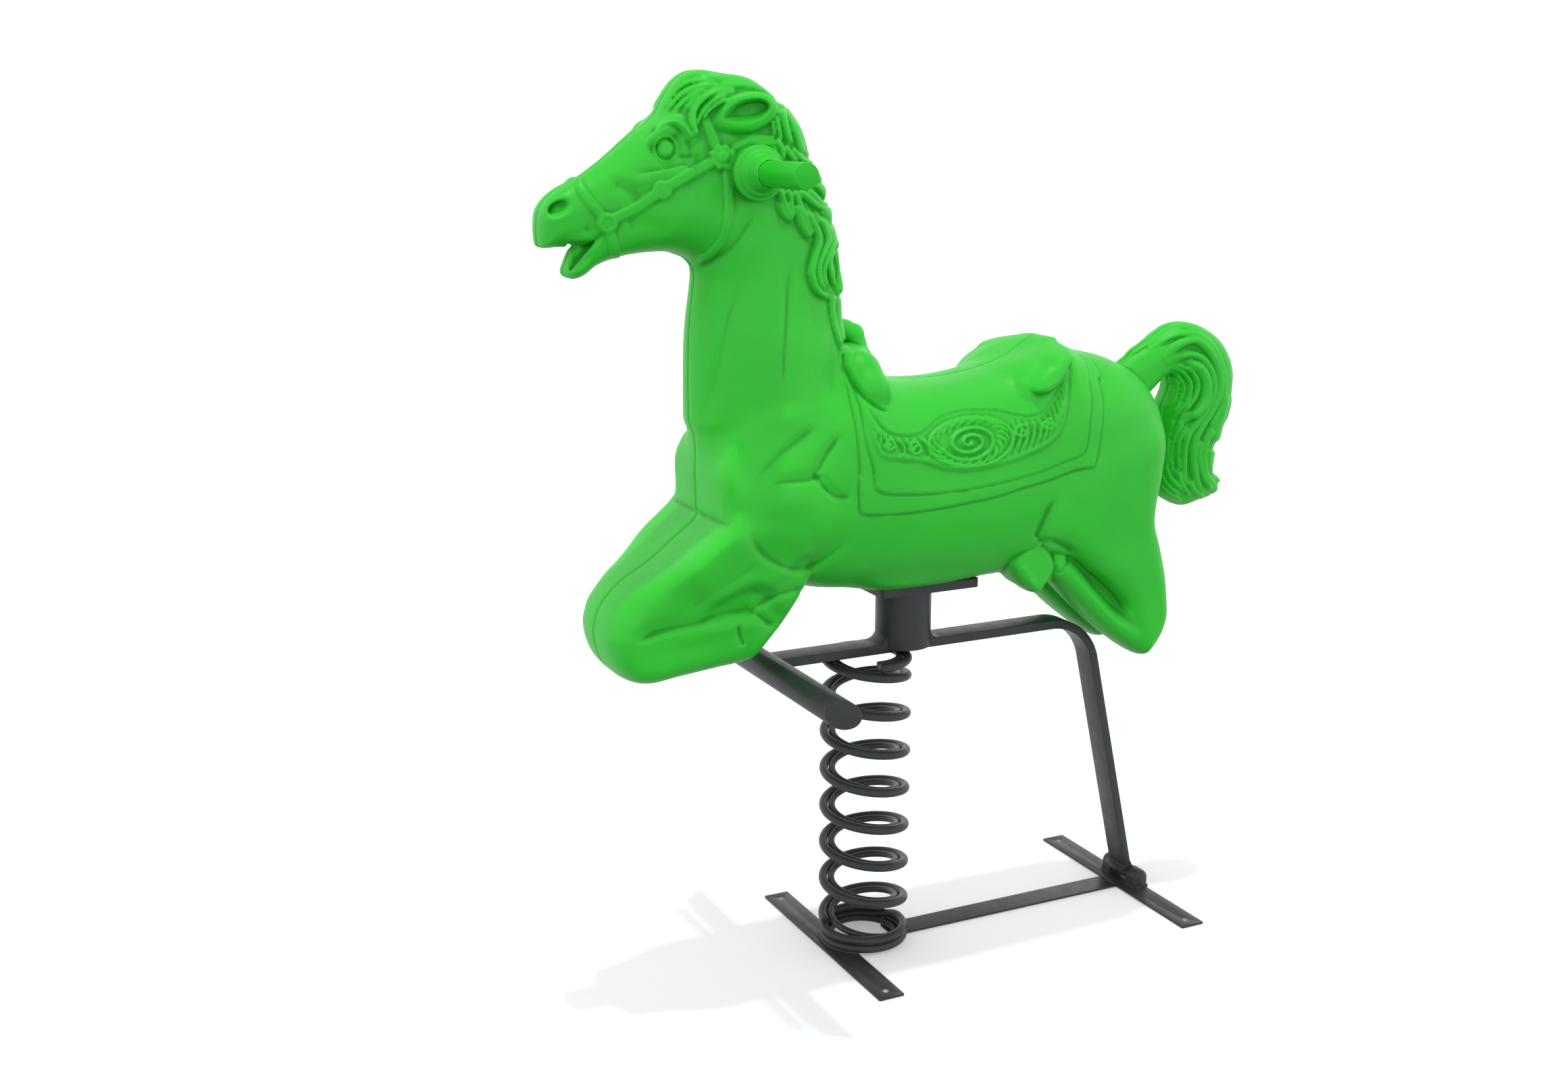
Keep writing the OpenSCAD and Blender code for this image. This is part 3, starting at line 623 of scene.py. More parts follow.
disc(hd((966, 478))[0], 18, [(0, 6.4), (0.42, 6.4), (0.54, 4.2), (0.64, 4.2), (0.9, 5.0), (1.05, 0)])
for k in range(8):
    a = k * math.pi / 4 + 0.3
    c = hd((966, 478))[0]
    i = np.nonzero(np.hypot(PU - c[0] - 15 * math.cos(a), PV - c[1] - 15 * math.sin(a)) < 6)
    np.maximum.at(straps, i, np.float32(5.0) * step((6 - np.hypot(PU[i] - c[0] - 15 * math.cos(a), PV[i] - c[1] - 15 * math.sin(a))) / 2).astype(np.float32))

# --- hair
for line, w0, w1, h in (
        ([(960, 335), (820, 322), (680, 332), (560, 372), (450, 432), (360, 522), (285, 602)], 6, 4, 4.5),
        ([(820, 345), (700, 372), (600, 424), (500, 494), (430, 565), (398, 600)], 6.5, 4, 4.5),
        ([(720, 400), (630, 460), (560, 530), (520, 580)], 6.5, 4, 4.2),
        ([(940, 292), (760, 272), (600, 272), (480, 312), (390, 382), (315, 485), (255, 600)], 6, 4, 4.6),
        ([(900, 235), (700, 205), (560, 205), (450, 262), (375, 345), (300, 470), (235, 620)], 7.5, 4, 5),
        ([(930, 255), (760, 236), (620, 236)], 6, 4, 4.6),
        ([(1000, 382), (880, 384), (760, 424), (662, 502), (602, 602), (592, 720), (616, 830), (632, 905)], 7, 4.5, 9.5),
        ([(1000, 412), (890, 440), (790, 500), (700, 590), (650, 690), (636, 780)], 6, 3.5, 9.0),
        ([(1000, 452), (900, 492), (810, 552), (735, 622), (690, 700)], 5.5, 3.5, 8.0),
        ):
    lock(at("lock", line), w0, w1, h, (0.3, 0.12))
for line, w0, w1, h in (
        ([(780, 338), (930, 318), (1100, 312), (1250, 330), (1400, 400), (1500, 520)], 6, 5, 4),
        ([(760, 296), (900, 284), (1150, 285), (1290, 318), (1420, 400), (1540, 520)], 6, 5, 4),
        ([(700, 238), (850, 240), (1100, 258), (1270, 300), (1400, 372)], 7, 5, 4)):
    lock(at("lock", line), w0, w1, h, (0.35, 0.15))
for line, w0, w1, h in (
        ([(600, 430), (622, 520), (640, 610)], 3.5, 2.5, 6),
        ([(640, 380), (668, 480), (690, 580), (705, 660)], 5, 3, 7),
        ([(690, 300), (735, 430), (775, 570), (820, 720)], 6, 4.5, 7.5),
        ([(720, 250), (820, 400), (870, 560), (915, 720), (950, 820)], 6, 4.5, 7),
        ([(760, 270), (870, 420), (930, 560), (970, 700), (1000, 860)], 5.5, 4, 6.5),
        ([(640, 220), (760, 300), (880, 430), (960, 580), (1005, 740), (1022, 890)], 5, 4, 5.5),
        ([(632, 640), (690, 710), (722, 800), (712, 890)], 7, 4, 7.5),
        ([(600, 680), (640, 760), (670, 830)], 5, 3, 5),
        ([(745, 710), (790, 790), (835, 850), (880, 900)], 6, 4, 7.5),
        ([(830, 740), (890, 820), (955, 890)], 5, 4, 7),
        ([(890, 800), (960, 870), (1020, 920)], 5, 4, 6),
        ([(690, 1180), (730, 1320), (785, 1450), (832, 1535)], 7, 4, 7.5),
        ([(770, 1190), (808, 1300), (822, 1420), (834, 1530)], 5.5, 3.5, 7.5),
        ([(850, 1200), (905, 1340), (955, 1470), (1000, 1560)], 6.5, 5, 7),
        ([(890, 1210), (1000, 1285), (1100, 1370), (1235, 1440)], 7, 5, 7.5),
        ([(1000, 1200), (1090, 1285), (1180, 1390)], 6, 4.5, 7),
        ([(1090, 1130), (1165, 1220), (1215, 1320)], 6, 4.5, 6.5),
        ([(1040, 1000), (1120, 1080), (1180, 1150), (1210, 1220)], 5, 4, 6),
        ([(950, 940), (1060, 1020), (1140, 1110)], 6, 4, 6),
        ([(1060, 1440), (1120, 1520), (1160, 1600)], 5, 4, 6.5),
        ([(1150, 1420), (1200, 1500), (1240, 1600)], 5, 4, 6),
        ([(700, 890), (730, 1000), (760, 1110), (780, 1190)], 7, 5, 5),
        ([(800, 890), (850, 1000), (880, 1110), (900, 1200)], 7, 5, 5),
        ([(890, 900), (960, 1000), (1010, 1100), (1040, 1200)], 7, 5, 5)):
    lock(at("mane", line), w0, w1, h)
for line, w0, w1, h in (
        ([(195, -20), (212, 60), (250, 122), (302, 160)], 6.5, 3.5, 6.5),
        ([(258, -20), (275, 60), (302, 145)], 5, 3, 6.5),
        ([(330, 0), (365, 110), (405, 220), (465, 308)], 9, 5.5, 7.5),
        ([(372, 40), (420, 170), (470, 280)], 5, 4, 8),
        ([(400, 30), (455, 140), (512, 250), (524, 345), (488, 470), (466, 590), (488, 700), (540, 778), (625, 808)], 7, 5, 9),
        ([(478, 90), (555, 190), (592, 300), (572, 400), (532, 500), (520, 600), (542, 700), (600, 770)], 6, 4.5, 9.5),
        ([(518, 100), (592, 215), (630, 310), (616, 405), (580, 500), (562, 600), (582, 690), (628, 750)], 5.5, 4, 9),
        ([(600, 130), (642, 240), (662, 340), (704, 440)], 6, 4.5, 7.5),
        ([(640, 390), (616, 480), (618, 570), (640, 660), (662, 740)], 5, 3.5, 8),
        ([(652, 360), (690, 470), (712, 590), (704, 700), (690, 800)], 6, 4, 7),
        ([(612, 40), (655, 190), (692, 320), (704, 450), (728, 600), (722, 740)], 5.5, 4, 6),
        ([(560, 40), (610, 160), (640, 280)], 5, 4, 7.5),
        ([(646, 770), (645, 900), (668, 1050), (706, 1180), (735, 1250)], 5, 3, 5.5),
        ([(690, 790), (700, 950), (716, 1100), (738, 1210)], 4.5, 3, 5)):
    lock(at("mane2", line), w0, w1, h)
for line, w0, w1, h in (
        ([(260, 425), (400, 330), (560, 235), (680, 190), (800, 215), (910, 300), (985, 430), (1005, 580), (990, 720), (958, 850)], 5, 6, 3.2),
        ([(470, 330), (590, 262), (700, 240), (810, 262), (900, 350), (955, 470), (975, 600), (955, 740), (905, 850), (890, 980)], 6.5, 5, 4.6),
        ([(580, 400), (670, 320), (770, 290), (850, 340), (915, 440), (945, 560), (930, 680), (875, 790), (820, 880), (775, 980), (765, 1120), (790, 1260), (850, 1340)], 7, 5.5, 6.0),
        ([(600, 440), (710, 390), (810, 410), (880, 500), (900, 620), (862, 740), (790, 850), (730, 930), (700, 1030), (695, 1150), (712, 1270)], 6.5, 5, 6.5),
        ([(700, 455), (795, 480), (848, 580), (838, 700), (778, 790), (712, 818)], 9.5, 7.5, 9.0),
        ([(640, 466), (735, 500), (785, 580), (775, 660), (728, 735), (690, 790)], 5, 4, 7.0),
        ([(618, 484), (700, 530), (738, 600), (718, 690), (660, 765), (605, 840)], 4.6, 4, 6.0),
        ([(600, 504), (662, 560), (690, 620), (660, 705), (592, 795)], 4.5, 3.6, 5.0),
        ([(580, 520), (638, 590), (628, 672), (570, 755)], 4, 3.2, 4.0),
        ([(978, 640), (974, 730), (952, 815), (926, 900), (902, 1000)], 6, 5, 5.5),
        ([(905, 880), (850, 980), (830, 1100), (850, 1215), (915, 1300)], 6, 5, 6),
        ([(880, 1030), (868, 1130), (890, 1215), (930, 1262)], 5, 4, 5.5),
        ([(810, 960), (800, 1100), (830, 1230), (890, 1320)], 5, 4, 6),
        ([(690, 850), (625, 945), (600, 1060), (620, 1170)], 5.5, 3.5, 5),
        ([(735, 880), (665, 965), (650, 1080), (664, 1180)], 5.5, 3.5, 5.2),
        ([(620, 830), (578, 930), (566, 1050), (598, 1160)], 5, 3.5, 4.6),
        ([(585, 900), (556, 1000), (548, 1100), (600, 1225), (670, 1285)], 5, 3.5, 4.2),
        ([(535, 1140), (598, 1240), (690, 1315)], 4.5, 3.5, 4),
        ([(515, 1200), (580, 1285), (665, 1345)], 4.5, 3.5, 4),
        ([(505, 1270), (580, 1335), (680, 1390)], 4.5, 3.5, 3.6),
        ([(660, 1180), (680, 1270), (740, 1350)], 4.5, 3.5, 4.4),
        ([(740, 1250), (770, 1320), (830, 1365)], 5, 4, 4.4)):
    lock(at("tail", line), w0, w1, h)
hair *= 1 - step((GX + 271) / 6) * step((-100 - GX) / 10) * step((752 - GZ) / 12)

# --- chest, shoulder and forelegs
ch = lambda *p: at("chest", p)
fo = lambda *p: at("fore", p)
VIEWS["should"] = (1000, 480, 3.333)
VIEWS["leg"] = (860, 640, 2.174)
sh = lambda *p: at("should", p)
lg = lambda *p: at("leg", p)
crease(sh((340, 815), (420, 738), (500, 662), (600, 580), (725, 482)), 12, 26, 4.6, (0.45, 0.25))
crease(sh((400, 792), (480, 787), (580, 780), (650, 774), (706, 768)), 20, 7, 5.0, (0.6, 0.02))
dome(sh((600, 860))[0], 50, 24, -0.05, 3.0)
crease(sh((835, 525), (790, 592), (740, 668), (706, 738), (706, 765)), 7, 18, 5.0, (0.35, 0.02))
crease(sh((704, 750), (716, 788), (752, 828), (808, 856), (880, 850)), 16, 6, 5.0, (0.02, 0.25))
dome(sh((800, 740))[0], 22, 26, 0.3, 2.5)
# upper edge of the shoulder mass
i, d, s, sd = near(curve_open(sh((150, 640), (240, 575), (350, 512), (480, 448), (600, 420), (720, 400))), 70)
np.add.at(relief, i, (3.6 * np.tanh(sd / 10) * np.exp(-(d / 30) ** 2) * fade(s, 0.3, 0.35)).astype(np.float32))
# lower round of the shoulder, over the leg
crease(lg((520, 285), (540, 322), (580, 384), (615, 412), (660, 436), (705, 442), (752, 432), (800, 398), (866, 345), (905, 290)), 46, 10, 8.0, (0.3, 0.45))
dome(lg((690, 300))[0], 62, 58, 0.2, 6.0, 1.6)
# crease between the forearm and the folded lower leg
crease(lg((165, 686), (215, 664), (290, 640), (380, 618), (466, 588), (552, 578)), 26, 7, 9.0, (0.22, 0.03))
ridge(lg((250, 690), (380, 655), (500, 628), (580, 622)), 9, 2.4, (0.3, 0.2))
crease(lg((545, 580), (575, 590), (602, 614), (630, 624)), 10, 12, 5.5, (0.02, 0.25))
crease(lg((545, 580), (599, 545), (652, 522), (715, 505)), 14, 6, 5.5, (0.02, 0.1))
crease(lg((508, 618), (516, 652), (530, 692)), 4, 12, 5.0, (0.15, 0.2))
crease(lg((250, 630), (370, 560), (466, 498), (532, 452), (580, 412)), 20, 26, 3.4, (0.4, 0.15))
ridge(lg((330, 640), (440, 596), (560, 520)), 10, 1.6, (0.3, 0.3))
# corner where chest meets leg, out from the parting line
crease(lg((375, 268), (420, 281), (470, 293), (500, 292)), 8, 6, 2.4, (0.02, 0.5))
# neck
nk = lambda *p: at("neck", p)
crease(sh((568, -390), (560, -270), (552, -160), (546, 0), (536, 160), (530, 340)), 14, 6, 4.0, (0.4, 0.2))
crease(sh((340, -290), (316, -190), (262, 0), (205, 280), (150, 500)), 20, 16, 4.2, (0.35, 0.3))
dome(sh((790, 240))[0], 16, 40, 0.15, -7.0)

# --- flank and hind leg
fold(at("blanket", [(1088, 612), (1062, 670), (1036, 730), (985, 850)]), 6.5, 6.0, 3.0, 26, -1, (0.45, 0.05))
hn = lambda *p: at("hind", p)
groove(hn((470, 100), (560, 104), (650, 132), (760, 192)), 5, 4.0, (0.05, 0.2))
groove(hn((820, 300), (930, 420), (1040, 530), (1110, 590)), 9, 3.0, (0.25, 0.3))
groove(hn((500, 128), (570, 200), (602, 275), (598, 330), (552, 384)), 2.6, 3.4, (0.05, 0.05))
groove(hn((690, 200), (690, 262), (652, 322), (600, 340)), 2.4, 2.6, (0.1, 0.1))
ridge(hn((356, 282), (396, 344), (442, 446)), 5, 2.0, (0.15, 0.1))

total = relief + blur(soft, 1.7 / VOX) + np.maximum(straps, 0) + hair
total = blur(total, 0.8 / VOX) if VOX < 2.4 else total
total *= step((np.hypot(GX - 400, GZ - 1085) - 24) / 6)
vol += total[:, None, :]

# stepped boss of the hand grip
gb = block((350, -1e9, 1035), (450, 128, 1135))
gr = np.sqrt((xs[gb[0]][:, None, None] - 400) ** 2 + (zs[gb[2]][None, None, :] - 1085) ** 2)
gy = ys[gb[1]][None, :, None]
add(gb, soft_min(25.5 + 8.5 * step((gy - 64) / 15) - gr, 84.5 - gy, 4), 2)
add(gb, soft_min(28.5 - gr, 90.5 - gy, 4), 2.5)
add(gb, soft_min(23.5 - 6.5 * (gy - 90) / 22 - gr, 112 - gy, 3), 5)

# open side of the mouth
mb = block((560, 6, 950), (640, 60, 1010))
mx, my, mz = np.meshgrid(xs[mb[0]], ys[mb[1]], zs[mb[2]], indexing="ij")
mu, mv = to_picture(mx, my, mz)
gape = side_of(curve_closed(at("lip", [(285, 1000), (330, 990), (372, 975), (396, 964), (364, 1010), (324, 1056), (288, 1102), (274, 1112), (270, 1085), (294, 1036)]), 4), mu, mv) / 1.24
cut(mb, soft_min(gape, my - 13, 3), 2)

# ear: a leaf that leans back and out, hollow inside
EAR_AT = np.array([450.0, 50.0, 1149.0])
EAR_OUT = np.array([0.1700, 0.9854, 0.0])
eb = block((340, 20, 1095), (475, 128, 1215))
ex, ey, ez = np.meshgrid(xs[eb[0]], ys[eb[1]], zs[eb[2]], indexing="ij")
eu, ev = to_picture(ex, ey, ez)
VIEWS["crown"] = (760, 60, 3.2667)
rim_ = side_of(curve_closed(at("crown", [(966, 394), (982, 352), (1012, 308), (1048, 274), (1098, 254), (1160, 247), (1216, 256), (1258, 286), (1277, 322),
                                         (1268, 360), (1240, 393), (1200, 421), (1150, 441), (1090, 445), (1030, 437), (986, 419)]), 4), eu, ev) / 1.24
bowl = side_of(curve_closed(at("crown", [(1012, 376), (1036, 340), (1074, 310), (1130, 288), (1196, 284), (1236, 304), (1240, 336), (1210, 368), (1160, 388),
                                         (1100, 394), (1046, 390)]), 4), eu, ev) / 1.24
ec = (ex - EAR_AT[0]) * EAR_OUT[0] + (ey - EAR_AT[1]) * EAR_OUT[1]
slope_ = np.clip((ev - 146.0) / 34.0, 0, 1)
front_ = 8.0 - (17.0 - 9.0 * slope_) * step((bowl + 1.0) / (5.0 + 6.0 * slope_))
ear = soft_min(soft_min(rim_, front_ - ec, 11), ec + 18, 6)
add(eb, ear, 5)
cut(eb, soft_min(bowl, ec - front_, 2), 2)

# the seat for the plate is flat, and a round hole is kept open for the grip's bar
cut(block((42, -1e9, 470), (198, 40, 526.7)), np.full((1, 1, 1), 20.0, np.float32), 0.5)
hb = block((380, -1e9, 1065), (420, 1e9, 1105))
cut(hb, np.broadcast_to(16.0 - np.sqrt((xs[hb[0]][:, None, None] - 400) ** 2 + (zs[hb[2]][None, None, :] - 1085) ** 2), vol[hb].shape), 0.5)
# edges of the parting face are a little rounded
vol[:] = soft_min(vol, np.broadcast_to((ys - 0.5)[None, :, None], vol.shape), 4.0)


def half_mesh(name, field, flip):
    g = openvdb.FloatGrid(3 * VOX)
    g.copyFromArray(np.clip(-field, -3 * VOX, 3 * VOX))
    p, q = g.convertToQuads(isovalue=0.0)
    p = p.astype(np.float64) * VOX + np.array([xs[0], ys[0], zs[0]])
    # how hollow or proud each place is, for painted shade darkening the hollows and a painted highlight lightening the
    # proud places
    e = np.concatenate([q[:, [0, 1]], q[:, [1, 2]], q[:, [2, 3]], q[:, [3, 0]]])
    deg = np.bincount(e[:, 0], minlength=len(p)) + np.bincount(e[:, 1], minlength=len(p))
    def relax(v):
        o = np.empty_like(v)
        for k in range(3):
            o[:, k] = (np.bincount(e[:, 0], v[e[:, 1], k], len(p)) + np.bincount(e[:, 1], v[e[:, 0], k], len(p))) / deg
        return o
    f = p[q]
    fn = np.cross(f[:, 2] - f[:, 0], f[:, 3] - f[:, 1])
    vn = np.zeros_like(p)
    for k in range(4):
        for c in range(3):
            vn[:, c] += np.bincount(q[:, k], fn[:, c], len(p))
    vn /= np.maximum(np.linalg.norm(vn, axis=1, keepdims=True), 1e-9)
    s = p.copy()
    out = []
    for it in range(36):
        s = relax(s)
        if it in (5, 35):
            out.append(((s - p) * vn).sum(1))
    cav = np.clip(0.5 * out[0] / (0.30 * VOX) + 0.5 * out[1] / (0.9 * VOX), -1, 1)
    for _ in range(2):
        cav = 0.5 * cav + 0.5 * (np.bincount(e[:, 0], cav[e[:, 1]], len(p)) + np.bincount(e[:, 1], cav[e[:, 0]], len(p))) / deg
    if flip:
        p = p * np.array([1, -1, 1])
        q = q[:, ::-1]
    me = bpy.data.meshes.new(name)
    me.vertices.add(len(p))
    me.vertices.foreach_set("co", (p / 1000).astype(np.float32).ravel())
    me.loops.add(len(q) * 4)
    me.loops.foreach_set("vertex_index", q.astype(np.int32).ravel())
    me.polygons.add(len(q))
    me.polygons.foreach_set("loop_start", np.arange(0, len(q) * 4, 4, dtype=np.int32))
    me.polygons.foreach_set("loop_total", np.full(len(q), 4, np.int32))
    me.update(calc_edges=True)
    at_ = me.attributes.new("hollow", "FLOAT", "POINT")
    at_.data.foreach_set("value", cav.astype(np.float32))
    me.polygons.foreach_set("use_smooth", np.ones(len(q), bool))
    ob = bpy.data.objects.new(name, me)
    bpy.context.scene.collection.objects.link(ob)
    return ob


def thin_out(ob, faces):
    tri = sum(len(p.vertices) - 2 for p in ob.data.polygons)
    if tri <= faces:
        return
    m = ob.modifiers.new("thin", "DECIMATE")
    m.ratio = faces / tri
    bpy.context.view_layer.objects.active = ob
    for o in bpy.context.selected_objects:
        o.select_set(False)
    ob.select_set(True)
    bpy.ops.object.modifier_apply(modifier=m.name)
    ob.data.polygons.foreach_set("use_smooth", np.ones(len(ob.data.polygons), bool))


left = half_mesh("left_half", vol, False)
SCREWS = [(-165, 690), (330, 640), (480, 540), (350, 930), (560, 1040)]
for sx, sz in SCREWS:
    sb = block((sx - 14, 24, sz - 14), (sx + 14, 1e9, sz + 14))
    sr = np.sqrt((xs[sb[0]][:, None, None] - sx) ** 2 + (zs[sb[2]][None, None, :] - sz) ** 2)
    cut(sb, soft_min(7.5 - np.broadcast_to(sr, vol[sb].shape), ys[sb[1]][None, :, None] - 30, 1.0), 1.5)
right = half_mesh("right_half", vol, True)
thin_out(left, 195000)
thin_out(right, 195000)
print("HALF FACES", len(left.data.polygons), len(right.data.polygons))
for ob, n in ((left, "left_body_half"), (right, "right_body_half")):
    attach(ob, "rider")
    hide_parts(n)


# ------------------------------------------------------------------ materials

def new_mat(name):
    m = bpy.data.materials.new(name)
    m.use_nodes = True
    nt = m.node_tree
    for n in list(nt.nodes):
        nt.nodes.remove(n)
    out = nt.nodes.new("ShaderNodeOutputMaterial")
    bs = nt.nodes.new("ShaderNodeBsdfPrincipled")
    nt.links.new(bs.outputs[0], out.inputs[0])
    return m, nt, bs


def noise(nt, scale, detail=4.0, rough=0.55):
    t = nt.nodes.new("ShaderNodeTexCoord")
    n = nt.nodes.new("ShaderNodeTexNoise")
    n.inputs["Scale"].default_value = scale
    n.inputs["Detail"].default_value = detail
    n.inputs["Roughness"].default_value = rough
    nt.links.new(t.outputs["Object"], n.inputs["Vector"])
    return n


def ramp(nt, stops, src):
    r = nt.nodes.new("ShaderNodeValToRGB")
    while len(r.color_ramp.elements) < len(stops):
        r.color_ramp.elements.new(0.5)
    for e, (p, c) in zip(r.color_ramp.elements, stops):
        e.position = p
        e.color = (*c, 1) if len(c) == 3 else c
    nt.links.new(src, r.inputs[0])
    return r


def mix(nt, kind, fac, a, b):
    m = nt.nodes.new("ShaderNodeMix")
    m.data_type = "RGBA"
    m.blend_type = kind
    if isinstance(fac, (int, float)):
        m.inputs[0].default_value = fac
    else:
        nt.links.new(fac, m.inputs[0])
    nt.links.new(a, m.inputs[6])
    nt.links.new(b, m.inputs[7])
    return m.outputs[2]


def remap(nt, src, a, b, c, d):
    m = nt.nodes.new("ShaderNodeMapRange")
    for i, v in zip((1, 2, 3, 4), (a, b, c, d)):
        m.inputs[i].default_value = v
    nt.links.new(src, m.inputs[0])
    return m.outputs[0]


def green_paint(name, base, hollow_shade, proud_highlight, with_painted_shade):
    m, nt, bs = new_mat(name)
    big = noise(nt, 7.0, 3.0)
    tone = ramp(nt, [(0.3, tuple(0.93 * c for c in base)), (0.7, tuple(1.05 * c for c in base))], big.outputs["Fac"])
    col = tone.outputs[0]
    # painted shade in creases and recesses and a painted highlight on proud places, driven by the hollow attribute
    if with_painted_shade:
        at_ = nt.nodes.new("ShaderNodeAttribute")
        at_.attribute_name = "hollow"
        shade = ramp(nt, [(0.0, proud_highlight), (0.45, (1, 1, 1)), (0.60, (1, 1, 1)), (1.0, hollow_shade)], remap(nt, at_.outputs["Fac"], -1, 1, 0, 1))
        col = mix(nt, "MULTIPLY", 1.0, col, shade.outputs[0])
    nt.links.new(col, bs.inputs["Base Color"])
    fine = noise(nt, 900.0, 2.0)
    mid_ = noise(nt, 120.0, 3.0)
    nt.links.new(remap(nt, mid_.outputs["Fac"], 0.3, 0.7, 0.44, 0.53), bs.inputs["Roughness"])
    b1 = nt.nodes.new("ShaderNodeBump")
    b1.inputs["Strength"].default_value = 0.05
    b1.inputs["Distance"].default_value = 0.0006
    nt.links.new(fine.outputs["Fac"], b1.inputs["Height"])
    b2 = nt.nodes.new("ShaderNodeBump")
    b2.inputs["Strength"].default_value = 0.08
    b2.inputs["Distance"].default_value = 0.002
    nt.links.new(mid_.outputs["Fac"], b2.inputs["Height"])
    nt.links.new(b1.outputs[0], b2.inputs["Normal"])
    nt.links.new(b2.outputs[0], bs.inputs["Normal"])
    bs.inputs["Specular IOR Level"].default_value = 0.35
    return m


def frame_paint(name, base):
    m, nt, bs = new_mat(name)
    big = noise(nt, 14.0, 4.0)
    tone = ramp(nt, [(0.3, tuple(0.82 * c for c in base)), (0.7, tuple(1.2 * c for c in base))], big.outputs["Fac"])
    nt.links.new(tone.outputs[0], bs.inputs["Base Color"])
    fine = noise(nt, 1400.0, 2.0)
    mid_ = noise(nt, 60.0, 4.0)
    nt.links.new(remap(nt, mid_.outputs["Fac"], 0.3, 0.7, 0.36, 0.46), bs.inputs["Roughness"])
    bs.inputs["Specular IOR Level"].default_value = 0.32
    b = nt.nodes.new("ShaderNodeBump")
    b.inputs["Strength"].default_value = 0.18
    b.inputs["Distance"].default_value = 0.0004
    nt.links.new(fine.outputs["Fac"], b.inputs["Height"])
    nt.links.new(b.outputs[0], bs.inputs["Normal"])
    return m


# third colour: painted shade for the hollows; fourth colour: painted highlight for the proud places
GREEN = green_paint("body_green", (0.030, 0.64, 0.033), (0.40, 0.48, 0.40), (1.05, 1.03, 1.05), True)
GRIP = green_paint("grip_green", (0.018, 0.62, 0.021), (0.3, 0.36, 0.3), (1, 1, 1), False)
FRAME = frame_paint("frame_charcoal", (0.030, 0.034, 0.0365))
STEEL = frame_paint("bare_steel", (0.42, 0.43, 0.44))
STEEL.node_tree.nodes["Principled BSDF"].inputs["Metallic"].default_value = 1.0
BRONZE = frame_paint("bronze", (0.42, 0.27, 0.11))
BRONZE.node_tree.nodes["Principled BSDF"].inputs["Metallic"].default_value = 1.0

left.data.materials.append(GREEN)
right.data.materials.append(GREEN)
for n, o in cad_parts.items():
    m = FRAME
    if n in ("handle_bar", "handle_plugs"):
        m = GRIP
    elif n in ("mount_bolts", "seam_screws", "hinge_pin", "handle_cross_pin"):
        m = STEEL
    elif n == "pivot_bushes":
        m = BRONZE
    o.data.materials.clear()
    o.data.materials.append(m)

# ------------------------------------------------------------------ metalwork
# Everything below is drawn in millimetres and turned into metres when built.
from mathutils.geometry import tessellate_polygon

BAR_T = 3.0
COIL_X, COIL_R, COIL_W = 200.0, 57.6, 6.35
INNER_R, INNER_W = 46.1, 4.75


class Bag:
    """Collects corners and faces for one piece."""

    def __init__(self):
        self.v, self.f = [], []

    def add(self, v, f):
        o = len(self.v)
        self.v += [tuple(float(c) for c in p) for p in v]
        self.f += [tuple(int(i) + o for i in q) for q in f]
        return self

    def lathe(self, profile, axis, centre, n=48):
        """Turns a profile of [radius, place along the axis] round an axis."""
        rings, v, f = [], [], []
        for r, h in profile:
            ring_ = []
            for k in range(1 if r < 1e-6 else n):
                a = 2 * math.pi * k / n
                c, s_ = r * math.cos(a), r * math.sin(a)
                p_ = {"x": (h, c, s_), "y": (c, h, s_), "z": (c, s_, h)}[axis]
                ring_.append(len(v))
                v.append(tuple(q_ + o_ for q_, o_ in zip(p_, centre)))
            rings.append(ring_)
        for a, b in zip(rings, rings[1:]):
            for k in range(n):
                q_ = [a[k % len(a)], a[(k + 1) % len(a)], b[(k + 1) % len(b)], b[k % len(b)]]
                q_ = [i for j, i in enumerate(q_) if i not in q_[:j]]
                if len(q_) > 2:
                    f.append(q_)
        return self.add(v, f)

    def sweep(self, pts, radii, n=16, closed=False, flat=1.0):
        """A round rod along a line of points, ends closed."""
        p_ = np.asarray(pts, float)
        r_ = np.broadcast_to(np.asarray(radii, float), (len(p_),))
        t = np.gradient(p_, axis=0)
        if closed:
            t = np.roll(p_, -1, 0) - np.roll(p_, 1, 0)
        t /= np.linalg.norm(t, axis=1, keepdims=True)
        ref = np.array([0, 0, 1.0]) if abs(t[0][2]) < 0.9 else np.array([1.0, 0, 0])
        u = np.cross(t[0], ref)
        u /= np.linalg.norm(u)
        v, f = [], []
        for k in range(len(p_)):
            u = u - t[k] * (u @ t[k])
            u /= np.linalg.norm(u)
            w = np.cross(u, t[k])
            for j in range(n):
                a = 2 * math.pi * j / n
                v.append(p_[k] + r_[k] * (math.cos(a) * u + flat * math.sin(a) * w))
        m = len(p_)
        for k in range(m if closed else m - 1):
            b = (k + 1) % m
            for j in range(n):
                i = (j + 1) % n
                f.append((k * n + j, k * n + i, b * n + i, b * n + j))
        if not closed:
            f.append(tuple(range(n - 1, -1, -1)))
            f.append(tuple((m - 1) * n + j for j in range(n)))
        return self.add(v, f)

    def slab(self, outer, holes, lo, hi, to=lambda a, b, c: (a, b, c)):
        """A flat outline with holes, given a thickness."""
        loops = [list(outer)] + [list(h) for h in holes]
        flat_ = [q_ for loop in loops for q_ in loop]
        tris = tessellate_polygon([[Vector((a, b, 0)) for a, b in loop] for loop in loops])
        m = len(flat_)
        f = [tuple(t) for t in tris] + [tuple(i + m for i in reversed(t)) for t in tris]
        o = 0
        for loop in loops:
            k = len(loop)
            f += [(o + i, o + (i + 1) % k, o + (i + 1) % k + m, o + i + m) for i in range(k)]
            o += k
        return self.add([to(a, b, lo) for a, b in flat_] + [to(a, b, hi) for a, b in flat_], f)


def round_hole(cx, cy, r, n=40):
    return [(cx + r * math.cos(2 * math.pi * k / n), cy + r * math.sin(2 * math.pi * k / n)) for k in range(n)]


